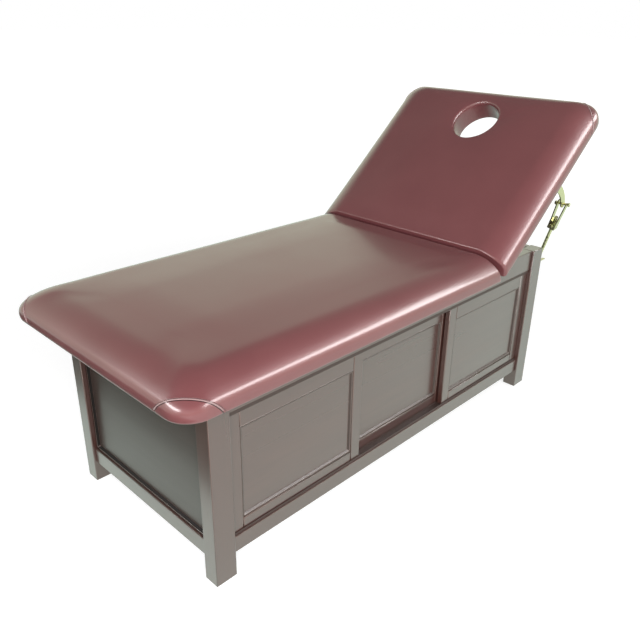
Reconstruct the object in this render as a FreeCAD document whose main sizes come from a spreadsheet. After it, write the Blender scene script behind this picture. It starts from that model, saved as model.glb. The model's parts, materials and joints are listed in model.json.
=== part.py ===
import FreeCAD, Part
import math
import os
import types

import Sketcher
from FreeCAD import Placement, Rotation, Vector

# Spa bed with a cabinet base: a framed wooden cabinet with three sliding doors, a seat
# cushion on its top board and a hinged backrest cushion with a face hole, held up by two
# notched prop rods. Lengths are in millimetres and angles in degrees.
# +X runs from the foot end to the head end, +Y to the far long side and +Z up. The origin
# is on the floor, below the middle of the whole bed with its backrest raised.

SIZES = {
    # Cabinet frame
    "cab_length": 1491.0,
    "cab_width": 638.0,
    "deck_height": 549.0,
    "post_long": 64.0,
    "post_deep": 48.0,
    "toe_height": 67.0,
    "rail_low": 49.5,
    "rail_high": 72.0,
    "rail_thick": 26.0,
    "rail_set": 8.0,
    "front_rail_deep": 52.0,
    "arris": 1.6,
    "glide_radius": 14.0,
    "glide_height": 3.0,
    # Panels, beads and boards of the cabinet
    "panel_set": 22.0,
    "panel_thick": 9.0,
    "bead_wide": 11.0,
    "bead_deep": 8.0,
    "bead_bevel": 6.0,
    "deck_thick": 18.0,
    "floor_thick": 15.0,
    # Sliding doors and their tracks
    "track_set": 12.0,
    "track_base": 2.0,
    "track_rib": 2.0,
    "track_low_rib": 5.0,
    "track_high_rib": 10.0,
    "door_thick": 18.0,
    "door_side_play": 1.0,
    "door_end_play": 0.5,
    "door_low_play": 0.4,
    "door_high_play": 1.0,
    "door_overlap": 31.0,
    "stile_wide": 38.0,
    "door_low_rail": 34.0,
    "door_high_rail": 54.0,
    "door_panel_set": 7.0,
    "door_panel_thick": 6.0,
    "door_bead_wide": 9.0,
    "door_bead_deep": 5.0,
    "door_bead_bevel": 5.0,
    # Cushions and their boards
    "foot_overhang": 116.0,
    "side_overhang": 82.0,
    "hinge_from_head": 395.5,
    "back_length": 714.0,
    "back_angle": 40.0,
    "cushion_thick": 84.0,
    "hinge_gap": 8.0,
    "foot_corner": 70.0,
    "head_corner": 70.0,
    "hinge_corner": 12.0,
    "tuck": 6.0,
    "lip_rise": 14.0,
    "edge_reach": 54.0,
    "edge_rise": 46.0,
    "crown": 4.0,
    "crown_reach": 140.0,
    "least_corner": 12.0,
    "board_thick": 18.0,
    "board_in": 14.0,
    "soft_gap": 0.3,
    # Face hole
    "hole_from_head": 166.0,
    "hole_long": 168.0,
    "hole_wide": 160.0,
    "hole_flare": 8.0,
    "hole_flare_deep": 12.0,
    "hole_liner": 4.0,
    # Butt hinges
    "hinge_from_side": 124.0,
    "hinge_wide": 110.0,
    "leaf_long": 45.0,
    "leaf_thick": 2.5,
    "leaf_relief": 0.2,
    "barrel_radius": 5.0,
    "hinge_pin_radius": 2.5,
    "pin_play": 0.05,
    "barrel_play": 0.5,
    "leaf_screw_from_pin": 32.0,
    "leaf_screw_pitch": 36.0,
    "screw_head_radius": 4.0,
    "screw_shank_radius": 1.8,
    "screw_length": 14.0,
    "screw_head_thick": 2.4,
    "screw_play": 0.05,
    # Prop brackets on the backrest
    "pin_before_head": 10.7,
    "bracket_drop": 116.0,
    "bracket_out": 49.0,
    "bracket_hook": 33.0,
    "bracket_bow": 24.0,
    "bracket_wide": 26.0,
    "bracket_thick": 5.0,
    "flange_thick": 3.0,
    "flange_long": 84.0,
    "flange_wide": 30.0,
    "flange_screw_pitch": 60.0,
    # Props
    "prop_out_angle": 10.0,
    "prop_in_angle": 18.3,
    "fork_arm_long": 70.0,
    "fork_arm_wide": 20.0,
    "fork_arm_thick": 4.0,
    "fork_mouth": 26.0,
    "block_wide": 27.0,
    "block_deep": 24.0,
    "block_tall": 32.0,
    "fork_pin_radius": 4.0,
    "fork_pin_head": 7.5,
    "fork_pin_head_thick": 4.0,
    "rod_radius": 6.0,
    "rod_above_block": 16.0,
    "rod_below_keeper": 22.0,
    "notch_pitch": 14.0,
    "notch_wide": 6.5,
    "notch_deep": 1.5,
    "clamp_shank_radius": 3.0,
    "clamp_knob_radius": 7.0,
    "clamp_knob_long": 9.0,
    "clamp_stand": 3.0,
    # Keepers on the head end
    "keeper_drop": 54.0,
    "keeper_thick": 3.0,
    "keeper_wide": 40.0,
    "keeper_tall": 52.0,
    "keeper_beyond": 9.0,
    "keeper_slot": 20.0,
    "keeper_bite": 1.0,
    "keeper_screw_pitch": 22.0,
    # One overrun for every cut
    "overrun": 2.0,
}
NOTCHES = 8
CROWN_STEPS = 2
EDGE_STEPS = 3


class Size:
    """A length, angle or number with the sheet expression that it comes from."""

    def __init__(self, number, text):
        self.number = float(number)
        self.text = text

    def __add__(self, other):
        other = as_size(other)
        return Size(self.number + other.number, f"({self.text} + {other.text})")

    def __sub__(self, other):
        other = as_size(other)
        return Size(self.number - other.number, f"({self.text} - {other.text})")

    def __mul__(self, other):
        other = as_size(other)
        return Size(self.number * other.number, f"{self.text} * {other.text}")

    def __truediv__(self, other):
        other = as_size(other)
        return Size(self.number / other.number, f"({self.text}) / ({other.text})")

    def __neg__(self):
        return Size(-self.number, f"(-1 * {self.text})")

    __radd__ = __add__
    __rmul__ = __mul__


def as_size(value):
    return value if isinstance(value, Size) else Size(value, f"({value:g})")


def sine(angle):
    return Size(math.sin(math.radians(angle.number)), f"sin({angle.text})")


def cosine(angle):
    return Size(math.cos(math.radians(angle.number)), f"cos({angle.text})")


doc = FreeCAD.newDocument("SpaBed")
sheet = doc.addObject("Spreadsheet::Sheet", "Sizes")
for row, (alias, value) in enumerate(SIZES.items(), start=1):
    sheet.set(f"A{row}", alias.replace("_", " "))
    sheet.set(f"B{row}", str(value))
    sheet.setAlias(f"B{row}", alias)
doc.recompute()
s = types.SimpleNamespace(**{alias: Size(sheet.get(alias), f"Sizes.{alias}") for alias in SIZES})
zero = Size(0, "0")
nodes = {}

# Places that several pieces share, from the foot face and the near face of the cabinet
rail_low_top = s.toe_height + s.rail_low
rail_high_base = s.deck_height - s.rail_high
bay_long = s.cab_length - 2 * s.post_long
bay_deep = s.cab_width - 2 * s.post_deep
bay_tall = rail_high_base - rail_low_top
middle = s.cab_width / 2
hinge_x = s.cab_length - s.hinge_from_head
cushion_wide = s.cab_width + 2 * s.side_overhang
seat_length = hinge_x + s.foot_overhang
sin_back = sine(s.back_angle)
cos_back = cosine(s.back_angle)
head_reach = hinge_x + (s.back_length - s.tuck / 4) * cos_back - s.lip_rise / 3 * sin_back
origin_x = (head_reach - s.foot_overhang) / 2
hinge_height = s.deck_height + s.soft_gap


def bind(thing, prop, size):
    thing.setExpression(prop, as_size(size).text)


def place(thing, x, y, z, pitch=zero, roll=zero, yaw=zero):
    """Puts a piece at a place measured from the cabinet's near foot corner on the floor."""
    bind(thing, "Placement.Base.x", x - origin_x)
    bind(thing, "Placement.Base.y", y - middle)
    bind(thing, "Placement.Base.z", z)
    turns = (("Yaw", yaw), ("Pitch", pitch), ("Roll", roll))
    for name, turn in turns:
        if turn is not zero:
            bind(thing, f"Placement.Rotation.{name}", turn)
    return thing


def on_backrest(thing):
    """Turns a piece drawn about the hinge line up to the backrest's resting angle."""
    return place(thing, hinge_x, middle, hinge_height, pitch=-s.back_angle)


def keep(name, thing):
    """Makes a finished object the sub-part of this name."""
    thing.Label = name
    nodes[name] = thing
    return thing


def block(name, corner, lengths):
    """A plain box whose corner and lengths follow the sheet."""
    box = doc.addObject("Part::Box", name)
    for prop, size in zip(("Length", "Width", "Height"), lengths):
        bind(box, prop, size)
    for axis, size in zip("xyz", corner):
        bind(box, f"Placement.Base.{axis}", as_size(size))
    return box


def cylinder(name, radius, length, start, roll=zero, pitch=zero):
    """A cylinder that starts at a point and runs up, or as its roll or pitch turns it."""
    made = doc.addObject("Part::Cylinder", name)
    bind(made, "Radius", radius)
    bind(made, "Height", length)
    for axis, size in zip("xyz", start):
        bind(made, f"Placement.Base.{axis}", as_size(size))
    if roll is not zero:
        bind(made, "Placement.Rotation.Roll", roll)
    if pitch is not zero:
        bind(made, "Placement.Rotation.Pitch", pitch)
    return made


def hexagon(name, radius, length, start, pitch=zero, roll=zero):
    """A six-sided bar, for screw and bolt heads and for the threaded shanks that no one sees."""
    made = doc.addObject("Part::Prism", name)
    made.Polygon = 6
    bind(made, "Circumradius", radius)
    bind(made, "Height", length)
    for axis, size in zip("xyz", start):
        bind(made, f"Placement.Base.{axis}", as_size(size))
    if roll is not zero:
        bind(made, "Placement.Rotation.Roll", roll)
    if pitch is not zero:
        bind(made, "Placement.Rotation.Pitch", pitch)
    return made


def fuse(name, pieces):
    made = doc.addObject("Part::MultiFuse", name)
    made.Shapes = pieces
    return made


def cut(name, base, tools):
    """Cuts one or more tools out of a base."""
    made = doc.addObject("Part::Cut", name)
    made.Base = base
    made.Tool = tools[0] if len(tools) == 1 else fuse(name + "_tools", tools)
    return made


def group(name, pieces):
    """Several separate solids that make one sub-part, such as a set of like screws."""
    made = doc.addObject("Part::Compound", name)
    made.Links = pieces
    return made


def outline(body, role, points):
    """A closed sketch through points, each bound to the sheet, on an origin plane of a body."""
    plane = [item for item in body.Origin.OriginFeatures if item.Role == role][0]
    sketch = body.newObject("Sketcher::SketchObject", body.Name + "_outline")
    sketch.AttachmentSupport = [(plane, "")]
    sketch.MapMode = "FlatFace"
    count = len(points)
    for here, there in zip(points, points[1:] + points[:1]):
        ends = [Vector(as_size(p[0]).number, as_size(p[1]).number, 0) for p in (here, there)]
        sketch.addGeometry(Part.LineSegment(*ends), False)
    for line in range(count):
        sketch.addConstraint(Sketcher.Constraint("Coincident", line, 2, (line + 1) % count, 1))
    for line, point in enumerate(points):
        for kind, axis, size in zip(("DistanceX", "DistanceY"), (-2, -1), point):
            if as_size(size).number == 0:
                sketch.addConstraint(Sketcher.Constraint("PointOnObject", line, 1, axis))
                continue
            made = sketch.addConstraint(Sketcher.Constraint(kind, -1, 1, line, 1, size.number))
            sketch.setExpression(f"Constraints[{made}]", size.text)
    return sketch


def padded(name, role, points, depth):
    """A body with one outline padded square off its plane."""
    body = doc.addObject("PartDesign::Body", name)
    pad = body.newObject("PartDesign::Pad", name + "_pad")
    pad.Profile = outline(body, role, points)
    bind(pad, "Length", depth)
    return body, pad


def board(name, corner, lengths):
    """A planed wooden member with every edge eased."""
    long, deep, tall = lengths
    corners = [(zero, zero), (long, zero), (long, deep), (zero, deep)]
    body, pad = padded(name, "XY_Plane", corners, tall)
    eased = body.newObject("PartDesign::Chamfer", name + "_arris")
    eased.Base = (pad, ["Edge1"])
    eased.UseAllEdges = True
    bind(eased, "Size", s.arris)
    return place(body, *corner)


def bead(name, long, tall, wide, deep, bevel, where, yaw):
    """A picture-frame moulding whose inner edge slopes down to the panel it holds."""
    bar = block(name + "_bar", (0, 0, 0), (long, deep, tall))
    mouth = doc.addObject("Part::Wedge", name + "_mouth")
    slope = bevel / deep
    front = wide - bevel - s.overrun * slope
    back = wide + s.overrun * slope
    for low, high, length in (("Xmin", "Xmax", long), ("Zmin", "Zmax", tall)):
        bind(mouth, low, front)
        bind(mouth, high, length - front)
    for low, high, length in (("X2min", "X2max", long), ("Z2min", "Z2max", tall)):
        bind(mouth, low, back)
        bind(mouth, high, length - back)
    bind(mouth, "Ymin", -s.overrun)
    bind(mouth, "Ymax", deep + s.overrun)
    return place(cut(name, bar, [mouth]), *where, yaw=yaw)


# Posts, with glides below, and the rails between them
head_post = s.cab_length - s.post_long
far_post = s.cab_width - s.post_deep
post_size = (s.post_long, s.post_deep, s.deck_height - s.glide_height)
posts = {}
for end, x in (("foot", zero), ("head", head_post)):
    for side, y in (("near", zero), ("far", far_post)):
        posts[end, side] = board(f"post_{end}_{side}", (x, y, s.glide_height), post_size)
for side in ("near", "far"):
    keep(f"post_foot_{side}", posts["foot", side])

glides = []
for x in (s.post_long / 2, s.cab_length - s.post_long / 2):
    for y in (s.post_deep / 2, s.cab_width - s.post_deep / 2):
        spot = (x - origin_x, y - middle, zero)
        glides.append(cylinder("glide", s.glide_radius, s.glide_height, spot))
keep("leg_glides", group("leg_glides", glides))

back_rail_y = s.cab_width - s.rail_set - s.rail_thick
head_rail_x = s.cab_length - s.rail_set - s.rail_thick
for level, z, tall in (("low", s.toe_height, s.rail_low), ("high", rail_high_base, s.rail_high)):
    front = (bay_long, s.front_rail_deep, tall)
    keep(f"rail_front_{level}", board(f"rail_front_{level}", (s.post_long, s.rail_set, z), front))
    back = (bay_long, s.rail_thick, tall)
    keep(f"rail_back_{level}", board(f"rail_back_{level}", (s.post_long, back_rail_y, z), back))
    for end, x in (("foot", s.rail_set), ("head", head_rail_x)):
        name = f"rail_{end}_{level}"
        keep(name, board(name, (x, s.post_deep, z), (s.rail_thick, bay_deep, tall)))

# Fixed panels and their beads at both ends and the back
panel_far = s.panel_set + s.panel_thick
end_panel = (s.panel_thick, bay_deep, bay_tall)
for end, x in (("foot", s.panel_set), ("head", s.cab_length - panel_far)):
    corner = (x - origin_x, s.post_deep - middle, rail_low_top)
    keep(f"panel_{end}", block(f"panel_{end}", corner, end_panel))
back_corner = (s.post_long - origin_x, s.cab_width - panel_far - middle, rail_low_top)
keep("panel_back", block("panel_back", back_corner, (bay_long, s.panel_thick, bay_tall)))

bead_sizes = (s.bead_wide, s.bead_deep, s.bead_bevel)
quarter_turn = Size(90, "90")
bead_face = s.panel_set - s.bead_deep
foot_spot = (bead_face, s.cab_width - s.post_deep, rail_low_top)
head_spot = (s.cab_length - bead_face, s.post_deep, rail_low_top)
back_spot = (s.cab_length - s.post_long, s.cab_width - bead_face, rail_low_top)
keep("bead_foot", bead("bead_foot", bay_deep, bay_tall, *bead_sizes, foot_spot, -quarter_turn))
keep("bead_head", bead("bead_head", bay_deep, bay_tall, *bead_sizes, head_spot, quarter_turn))
keep("bead_back", bead("bead_back", bay_long, bay_tall, *bead_sizes, back_spot, 2 * quarter_turn))

# The top and bottom boards fit inside the rails and round the posts
in_x = s.rail_set + s.rail_thick
in_front = s.rail_set + s.front_rail_deep


def notched_points():
    """Corners of a board that fills the frame, notched at the four posts."""
    x_low, x_high = in_x, s.cab_length - in_x
    post_low, post_high = s.post_long, s.cab_length - s.post_long
    y_low, y_high = s.post_deep, s.cab_width - s.post_deep
    return [
        (x_low, y_low),
        (post_low, y_low),
        (post_low, in_front),
        (post_high, in_front),
        (post_high, y_low),
        (x_high, y_low),
        (x_high, y_high),
        (post_high, y_high),
        (post_high, back_rail_y),
        (post_low, back_rail_y),
        (post_low, y_high),
        (x_low, y_high),
    ]


floor_board, _ = padded("cabinet_floor", "XY_Plane", notched_points(), s.floor_thick)
keep("cabinet_floor", place(floor_board, zero, zero, rail_low_top - s.floor_thick))
deck, _ = padded("deck_blank", "XY_Plane", notched_points(), s.deck_thick)
place(deck, zero, zero, s.deck_height - s.deck_thick)

# Twin tracks: one channel for the two outer doors and one behind it for the middle door
channel = s.door_thick + 2 * s.door_side_play
track_deep = 2 * channel + 3 * s.track_rib
rib_two = s.track_rib + channel
rib_three = rib_two + s.track_rib + channel
for level, base_z, way, rib in (
    ("low", rail_low_top, 1, s.track_low_rib),
    ("high", rail_high_base, -1, s.track_high_rib),
):
    floor = way * s.track_base
    tip = way * (s.track_base + rib)
    profile = [(zero, zero), (track_deep, zero), (track_deep, tip), (rib_three, tip)]
    profile += [(rib_three, floor), (rib_two + s.track_rib, floor), (rib_two + s.track_rib, tip)]
    profile += [(rib_two, tip), (rib_two, floor), (s.track_rib, floor), (s.track_rib, tip), (zero, tip)]
    track, _ = padded(f"track_{level}", "YZ_Plane", profile, bay_long)
    keep(f"track_{level}", place(track, s.post_long, s.track_set, base_z))

# Three equal framed doors, each with a loose panel and a bead
door_long = (bay_long - 2 * s.door_end_play + 2 * s.door_overlap) / 3
door_z = rail_low_top + s.track_base + s.door_low_play
door_tall = bay_tall - 2 * s.track_base - s.door_low_play - s.door_high_play
panel_long = door_long - 2 * s.stile_wide
panel_tall = door_tall - s.door_low_rail - s.door_high_rail
front_y = s.track_set + s.track_rib + s.door_side_play
rear_y = front_y + channel + s.track_rib
first_x = s.post_long + s.door_end_play
last_x = s.cab_length - first_x - door_long
for side, x, y in (
    ("left", first_x, front_y),
    ("centre", first_x + door_long - s.door_overlap, rear_y),
    ("right", last_x, front_y),
):
    name = f"door_{side}"
    stile = (s.stile_wide, s.door_thick, door_tall)
    stiles = [
        board(f"{name}_stile_a", (x, y, door_z), stile),
        board(f"{name}_stile_b", (x + door_long - s.stile_wide, y, door_z), stile),
    ]
    keep(f"{name}_stiles", group(f"{name}_stiles", stiles))
    inner_x = x + s.stile_wide
    high_z = door_z + door_tall - s.door_high_rail
    low = board(f"{name}_rail_a", (inner_x, y, door_z), (panel_long, s.door_thick, s.door_low_rail))
    high = board(f"{name}_rail_b", (inner_x, y, high_z), (panel_long, s.door_thick, s.door_high_rail))
    keep(f"{name}_rails", group(f"{name}_rails", [low, high]))
    panel_z = door_z + s.door_low_rail
    spot = (inner_x - origin_x, y + s.door_panel_set - middle, panel_z)
    keep(f"{name}_panel", block(f"{name}_panel", spot, (panel_long, s.door_panel_thick, panel_tall)))
    spot = (inner_x, y + s.door_panel_set - s.door_bead_deep, panel_z)
    moulding = (s.door_bead_wide, s.door_bead_deep, s.door_bead_bevel)
    keep(f"{name}_bead", bead(f"{name}_bead", panel_long, panel_tall, *moulding, spot, zero))


# Cushions. Both are drawn about the hinge line: x away from it along the cushion, y across
# and z up from the face that lies on the cabinet. The seat's drawing is mirrored.
def cushion_levels():
    """Height, side inset and hinge-end inset of each level, from the bottom to the crown.

    The side tucks in below, stands straight, then turns over the edge on a quarter
    ellipse, and the crown rises on a parabola. The hinge end is a quarter circle as high
    as the cushion, so that two such ends can open like a book without touching.
    """
    thick = s.cushion_thick.number
    shoulder = thick - s.crown.number
    straight = shoulder - s.edge_rise.number
    levels = [(0.0, s.tuck.number), (s.lip_rise.number / 3, s.tuck.number / 4)]
    levels.append((s.lip_rise.number, 0.0))
    for step in range(EDGE_STEPS + 1):
        turn = math.radians(90.0 * step / EDGE_STEPS)
        height = straight + s.edge_rise.number * math.sin(turn)
        levels.append((height, s.edge_reach.number * (1 - math.cos(turn))))
    for step in range(1, CROWN_STEPS + 1):
        share = step / CROWN_STEPS
        height = shoulder + s.crown.number * (1 - (1 - share) ** 2)
        levels.append((height, s.edge_reach.number + s.crown_reach.number * share))
    made = []
    for height, inset in levels:
        curve = thick - math.sqrt(max(thick**2 - height**2, 0.0))
        extra = max(inset - s.edge_reach.number, 0.0)
        made.append((height, inset, curve + extra))
    return made


def rounded_wire(x_low, x_high, half, near_radius, far_radius, height):
    """A level outline: a rectangle with one radius at its hinge end and one at its far end."""
    points = []
    for x, y, radius, start in (
        (x_high, half, far_radius, 0),
        (x_low, half, near_radius, 90),
        (x_low, -half, near_radius, 180),
        (x_high, -half, far_radius, 270),
    ):
        centre_x = x - radius if x == x_high else x + radius
        centre_y = y - radius if y > 0 else y + radius
        arc = []
        for angle in (start, start + 45, start + 90):
            turn = math.radians(angle)
            spot = Vector(centre_x + radius * math.cos(turn), centre_y + radius * math.sin(turn), height)
            arc.append(spot)
        points.append(arc)
    edges = []
    for arc, following in zip(points, points[1:] + points[:1]):
        edges.append(Part.Arc(*arc).toShape())
        edges.append(Part.LineSegment(arc[2], following[0]).toShape())
    return Part.Wire(edges)


def cushion_form(length, far_corner):
    """The stuffed outer form of a cushion, lofted straight from level to level."""
    half = cushion_wide.number / 2
    wires = []
    for height, inset, hinge_inset in cushion_levels():
        x_low = s.hinge_gap.number + hinge_inset
        far = max(far_corner.number - inset, s.least_corner.number)
        ends = (x_low, length.number - inset, half - inset)
        wires.append(rounded_wire(*ends, s.hinge_corner.number, far, height))
    return Part.makeLoft(wires, True, True)


def board_blank(length, far_corner, grow, tall):
    """The cushion board's outline, grown by a clearance, as a flat solid."""
    inset = s.board_in.number - grow
    half = cushion_wide.number / 2 - inset
    ends = (s.hinge_gap.number + inset, length.number - inset, half)
    radii = (s.hinge_corner.number, far_corner.number - inset)
    wire = rounded_wire(*ends, *radii, 0)
    return Part.Face(wire).extrude(Vector(0, 0, tall))


def ellipse_wire(grow, height):
    """The face hole's outline at a height, with its radii grown by one amount."""
    centre = Vector(s.back_length.number - s.hole_from_head.number, 0, height)
    radii = (s.hole_long.number / 2 + grow, s.hole_wide.number / 2 + grow)
    return Part.Wire([Part.Ellipse(centre, *radii).toShape()])


def ellipse_prism(grow, low, high):
    return Part.Face(ellipse_wire(grow, low)).extrude(Vector(0, 0, high - low))


def feature(name, shape):
    made = doc.addObject("Part::Feature", name)
    made.Shape = shape
    return made


def mirrored(shape):
    """The same form on the other side of the hinge line."""
    return shape.mirror(Vector(0, 0, 0), Vector(1, 0, 0))


gap = s.soft_gap.number
over = s.overrun.number
pocket_tall = s.board_thick.number + gap
seat_form = cushion_form(seat_length, s.foot_corner)
seat_pocket = board_blank(seat_length, s.foot_corner, gap, pocket_tall)
seat_cushion = feature("seat_cushion", mirrored(seat_form.cut(seat_pocket)))
keep("seat_cushion", place(seat_cushion, hinge_x, middle, s.deck_height))
seat_blank = board_blank(seat_length, s.foot_corner, 0, s.board_thick.number)
seat_board = feature("seat_board", mirrored(seat_blank))
keep("seat_board", place(seat_board, hinge_x, middle, s.deck_height))

# Mortises for the hinge leaves, as boxes about the hinge line
leaf_deep = s.leaf_relief + s.leaf_thick + s.leaf_relief
leaf_reach = s.leaf_long + s.soft_gap
mortise_wide = s.hinge_wide + 2 * s.soft_gap
hinge_out = middle - s.hinge_from_side
hinge_spots = {"near": -hinge_out, "far": hinge_out}
screw_rows = (-s.leaf_screw_pitch, zero, s.leaf_screw_pitch)

# Backrest board and cushion, with the face hole through both and room for the leaves
back_form = cushion_form(s.back_length, s.head_corner)
back_pocket = board_blank(s.back_length, s.head_corner, gap, pocket_tall)
liner = s.hole_liner.number
back_pocket = back_pocket.cut(ellipse_prism(liner - gap, -over, pocket_tall + over))
top = s.cushion_thick.number
flare_low = top - s.hole_flare_deep.number
slope = s.hole_flare.number / s.hole_flare_deep.number
flare_wires = [ellipse_wire(0, flare_low), ellipse_wire(s.hole_flare.number + over * slope, top + over)]
flare = Part.makeLoft(flare_wires, True, True)
back_solid = back_form.cut(back_pocket)
back_solid = back_solid.cut(ellipse_prism(0, -over, top + over)).cut(flare)
back_blank = board_blank(s.back_length, s.head_corner, 0, s.board_thick.number)
back_blank = back_blank.cut(ellipse_prism(liner, -over, s.board_thick.number + over))
for y in hinge_spots.values():
    corner = Vector(-over, y.number - mortise_wide.number / 2, -over)
    mortise = Part.makeBox(leaf_reach.number + over, mortise_wide.number, leaf_deep.number + over, corner)
    back_solid = back_solid.cut(mortise)
    back_blank = back_blank.cut(mortise)
keep("backrest_cushion", on_backrest(feature("backrest_cushion", back_solid)))


# Butt hinges: the fixed leaf lies in the deck, the moving leaf in the backrest board
def hinge_leaf(name, y, moving):
    """One leaf: a plate, its share of the barrel and holes for flush screws."""
    third = s.hinge_wide / 3
    low = s.leaf_relief if moving else -s.leaf_relief - s.leaf_thick
    start = y - s.hinge_wide / 2
    plate = block(name + "_plate", (0, start, low), (s.leaf_long, s.hinge_wide, s.leaf_thick))
    inner = third - 2 * s.barrel_play
    ends = [(start, third), (start + 2 * third, third)]
    spans = [(start + third + s.barrel_play, inner)] if moving else ends
    gaps = ends if moving else [(start + third, third)]
    quarter = -quarter_turn
    clear = s.barrel_radius + s.barrel_play
    rooms = []
    for at, long in gaps:
        room = (-clear, at - s.barrel_play, -clear)
        size = (2 * clear, long + 2 * s.barrel_play, 2 * clear)
        rooms.append(block(name + "_room", room, size))
    trimmed = cut(name + "_trimmed", plate, rooms)
    barrels = []
    for at, long in spans:
        barrels.append(cylinder(name + "_barrel", s.barrel_radius, long, (0, at, 0), roll=quarter))
    whole = fuse(name + "_whole", [trimmed] + barrels)
    bore_start = (0, start - s.overrun, 0)
    bore_radius = s.hinge_pin_radius + s.pin_play
    holes = [cylinder(name + "_bore", bore_radius, s.hinge_wide + 2 * s.overrun, bore_start, roll=quarter)]
    for row in screw_rows:
        holes.append(leaf_head(name + "_sink", y + row, moving, s.screw_play))
    return cut(name, whole, holes)


def leaf_head(name, y, moving, play):
    """A hinge screw's head, let into the whole thickness of the leaf."""
    low = s.leaf_relief if moving else -s.leaf_relief - s.leaf_thick
    return hexagon(name, s.screw_head_radius + play, s.leaf_thick, (s.leaf_screw_from_pin, y, low))


def leaf_shank(name, y, moving, play):
    """A hinge screw's shank, past the leaf into the wood."""
    radius = s.screw_shank_radius + play
    depth = s.screw_length + play
    past = s.leaf_relief + s.leaf_thick
    start = past if moving else -past - depth
    return hexagon(name, radius, depth, (s.leaf_screw_from_pin, y, start))


def leaf_screws(name, moving):
    """The screws of both leaves that share one carrier."""
    screws = []
    for side in hinge_spots.values():
        for row in screw_rows:
            head = leaf_head(name + "_head", side + row, moving, zero)
            shank = leaf_shank(name + "_shank", side + row, moving, zero)
            screws.append(fuse(name + "_screw", [head, shank]))
    return screws


def at_hinge(thing):
    """Sets a piece drawn about the hinge line on the cabinet, where the line lies just above the deck."""
    return place(thing, hinge_x, middle, hinge_height)


deck_cuts = []
for side, y in hinge_spots.items():
    keep(f"hinge_{side}_fixed_leaf", at_hinge(hinge_leaf(f"hinge_{side}_fixed_leaf", y, False)))
    keep(f"hinge_{side}_moving_leaf", on_backrest(hinge_leaf(f"hinge_{side}_moving_leaf", y, True)))
    start = (0, y - s.hinge_wide / 2, 0)
    pin = cylinder(f"hinge_{side}_pin", s.hinge_pin_radius, s.hinge_wide, start, roll=-quarter_turn)
    keep(f"hinge_{side}_pin", at_hinge(group(f"hinge_{side}_pin_set", [pin])))
    low_y = y - mortise_wide / 2
    mortise = (leaf_reach, mortise_wide, leaf_deep + s.overrun)
    deck_cuts.append(block("deck_mortise", (0, low_y, -leaf_deep), mortise))
    groove = s.barrel_radius + s.barrel_play
    room = (2 * groove, mortise_wide, groove + s.overrun)
    deck_cuts.append(block("deck_groove", (-groove, low_y, -groove), room))
    for row in screw_rows:
        deck_cuts.append(leaf_shank("deck_pilot", y + row, False, s.screw_play))
deck_tools = at_hinge(fuse("deck_tools", deck_cuts))
keep("deck_board", cut("deck_board", deck, [deck_tools]))

# Prop brackets: an arched arm that hangs from a flange under the backrest board
bracket_y = middle + s.bracket_out
bracket_reach = (s.hinge_from_head - s.pin_before_head - s.bracket_drop * sin_back) / cos_back
bracket_root = bracket_reach - s.bracket_hook
flange_screws = (-s.flange_screw_pitch / 2, s.flange_screw_pitch / 2)


def bracket_web(y):
    """The arched arm: a strip of even width about an arc, round at its pin end."""
    root = Vector(bracket_root.number, 0, 0)
    tip = Vector(bracket_reach.number, 0, -s.bracket_drop.number)
    chord = tip - root
    bow = s.bracket_bow.number
    radius = (chord.Length**2 / 4 + bow**2) / (2 * bow)
    bulge = Vector(-chord.z, 0, chord.x).normalize()
    centre = (root + tip) * 0.5 - bulge * (radius - bow)
    half = s.bracket_wide.number / 2

    def ring(size):
        """Start, middle and end of an arc of this radius about the arm's centre."""
        ends = [(point - centre).normalize() for point in (root, tip)]
        ends.insert(1, bulge)
        return [centre + way * size for way in ends]

    outer = ring(radius + half)
    inner = ring(radius - half)
    along = Rotation(Vector(0, 1, 0), 90).multVec((tip - centre).normalize())
    cap = tip + along * half
    edges = [
        Part.Arc(*outer).toShape(),
        Part.Arc(outer[2], cap, inner[2]).toShape(),
        Part.Arc(*reversed(inner)).toShape(),
        Part.LineSegment(inner[0], outer[0]).toShape(),
    ]
    face = Part.Face(Part.Wire(edges))
    face.translate(Vector(0, y - s.bracket_thick.number / 2, 0))
    web = face.extrude(Vector(0, s.bracket_thick.number, 0))
    reach = 2 * s.bracket_wide.number
    corner = Vector(root.x - reach / 2, y - reach / 2, -s.flange_thick.number / 2)
    above = Part.makeBox(reach, reach, reach, corner)
    return web.cut(above)


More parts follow.
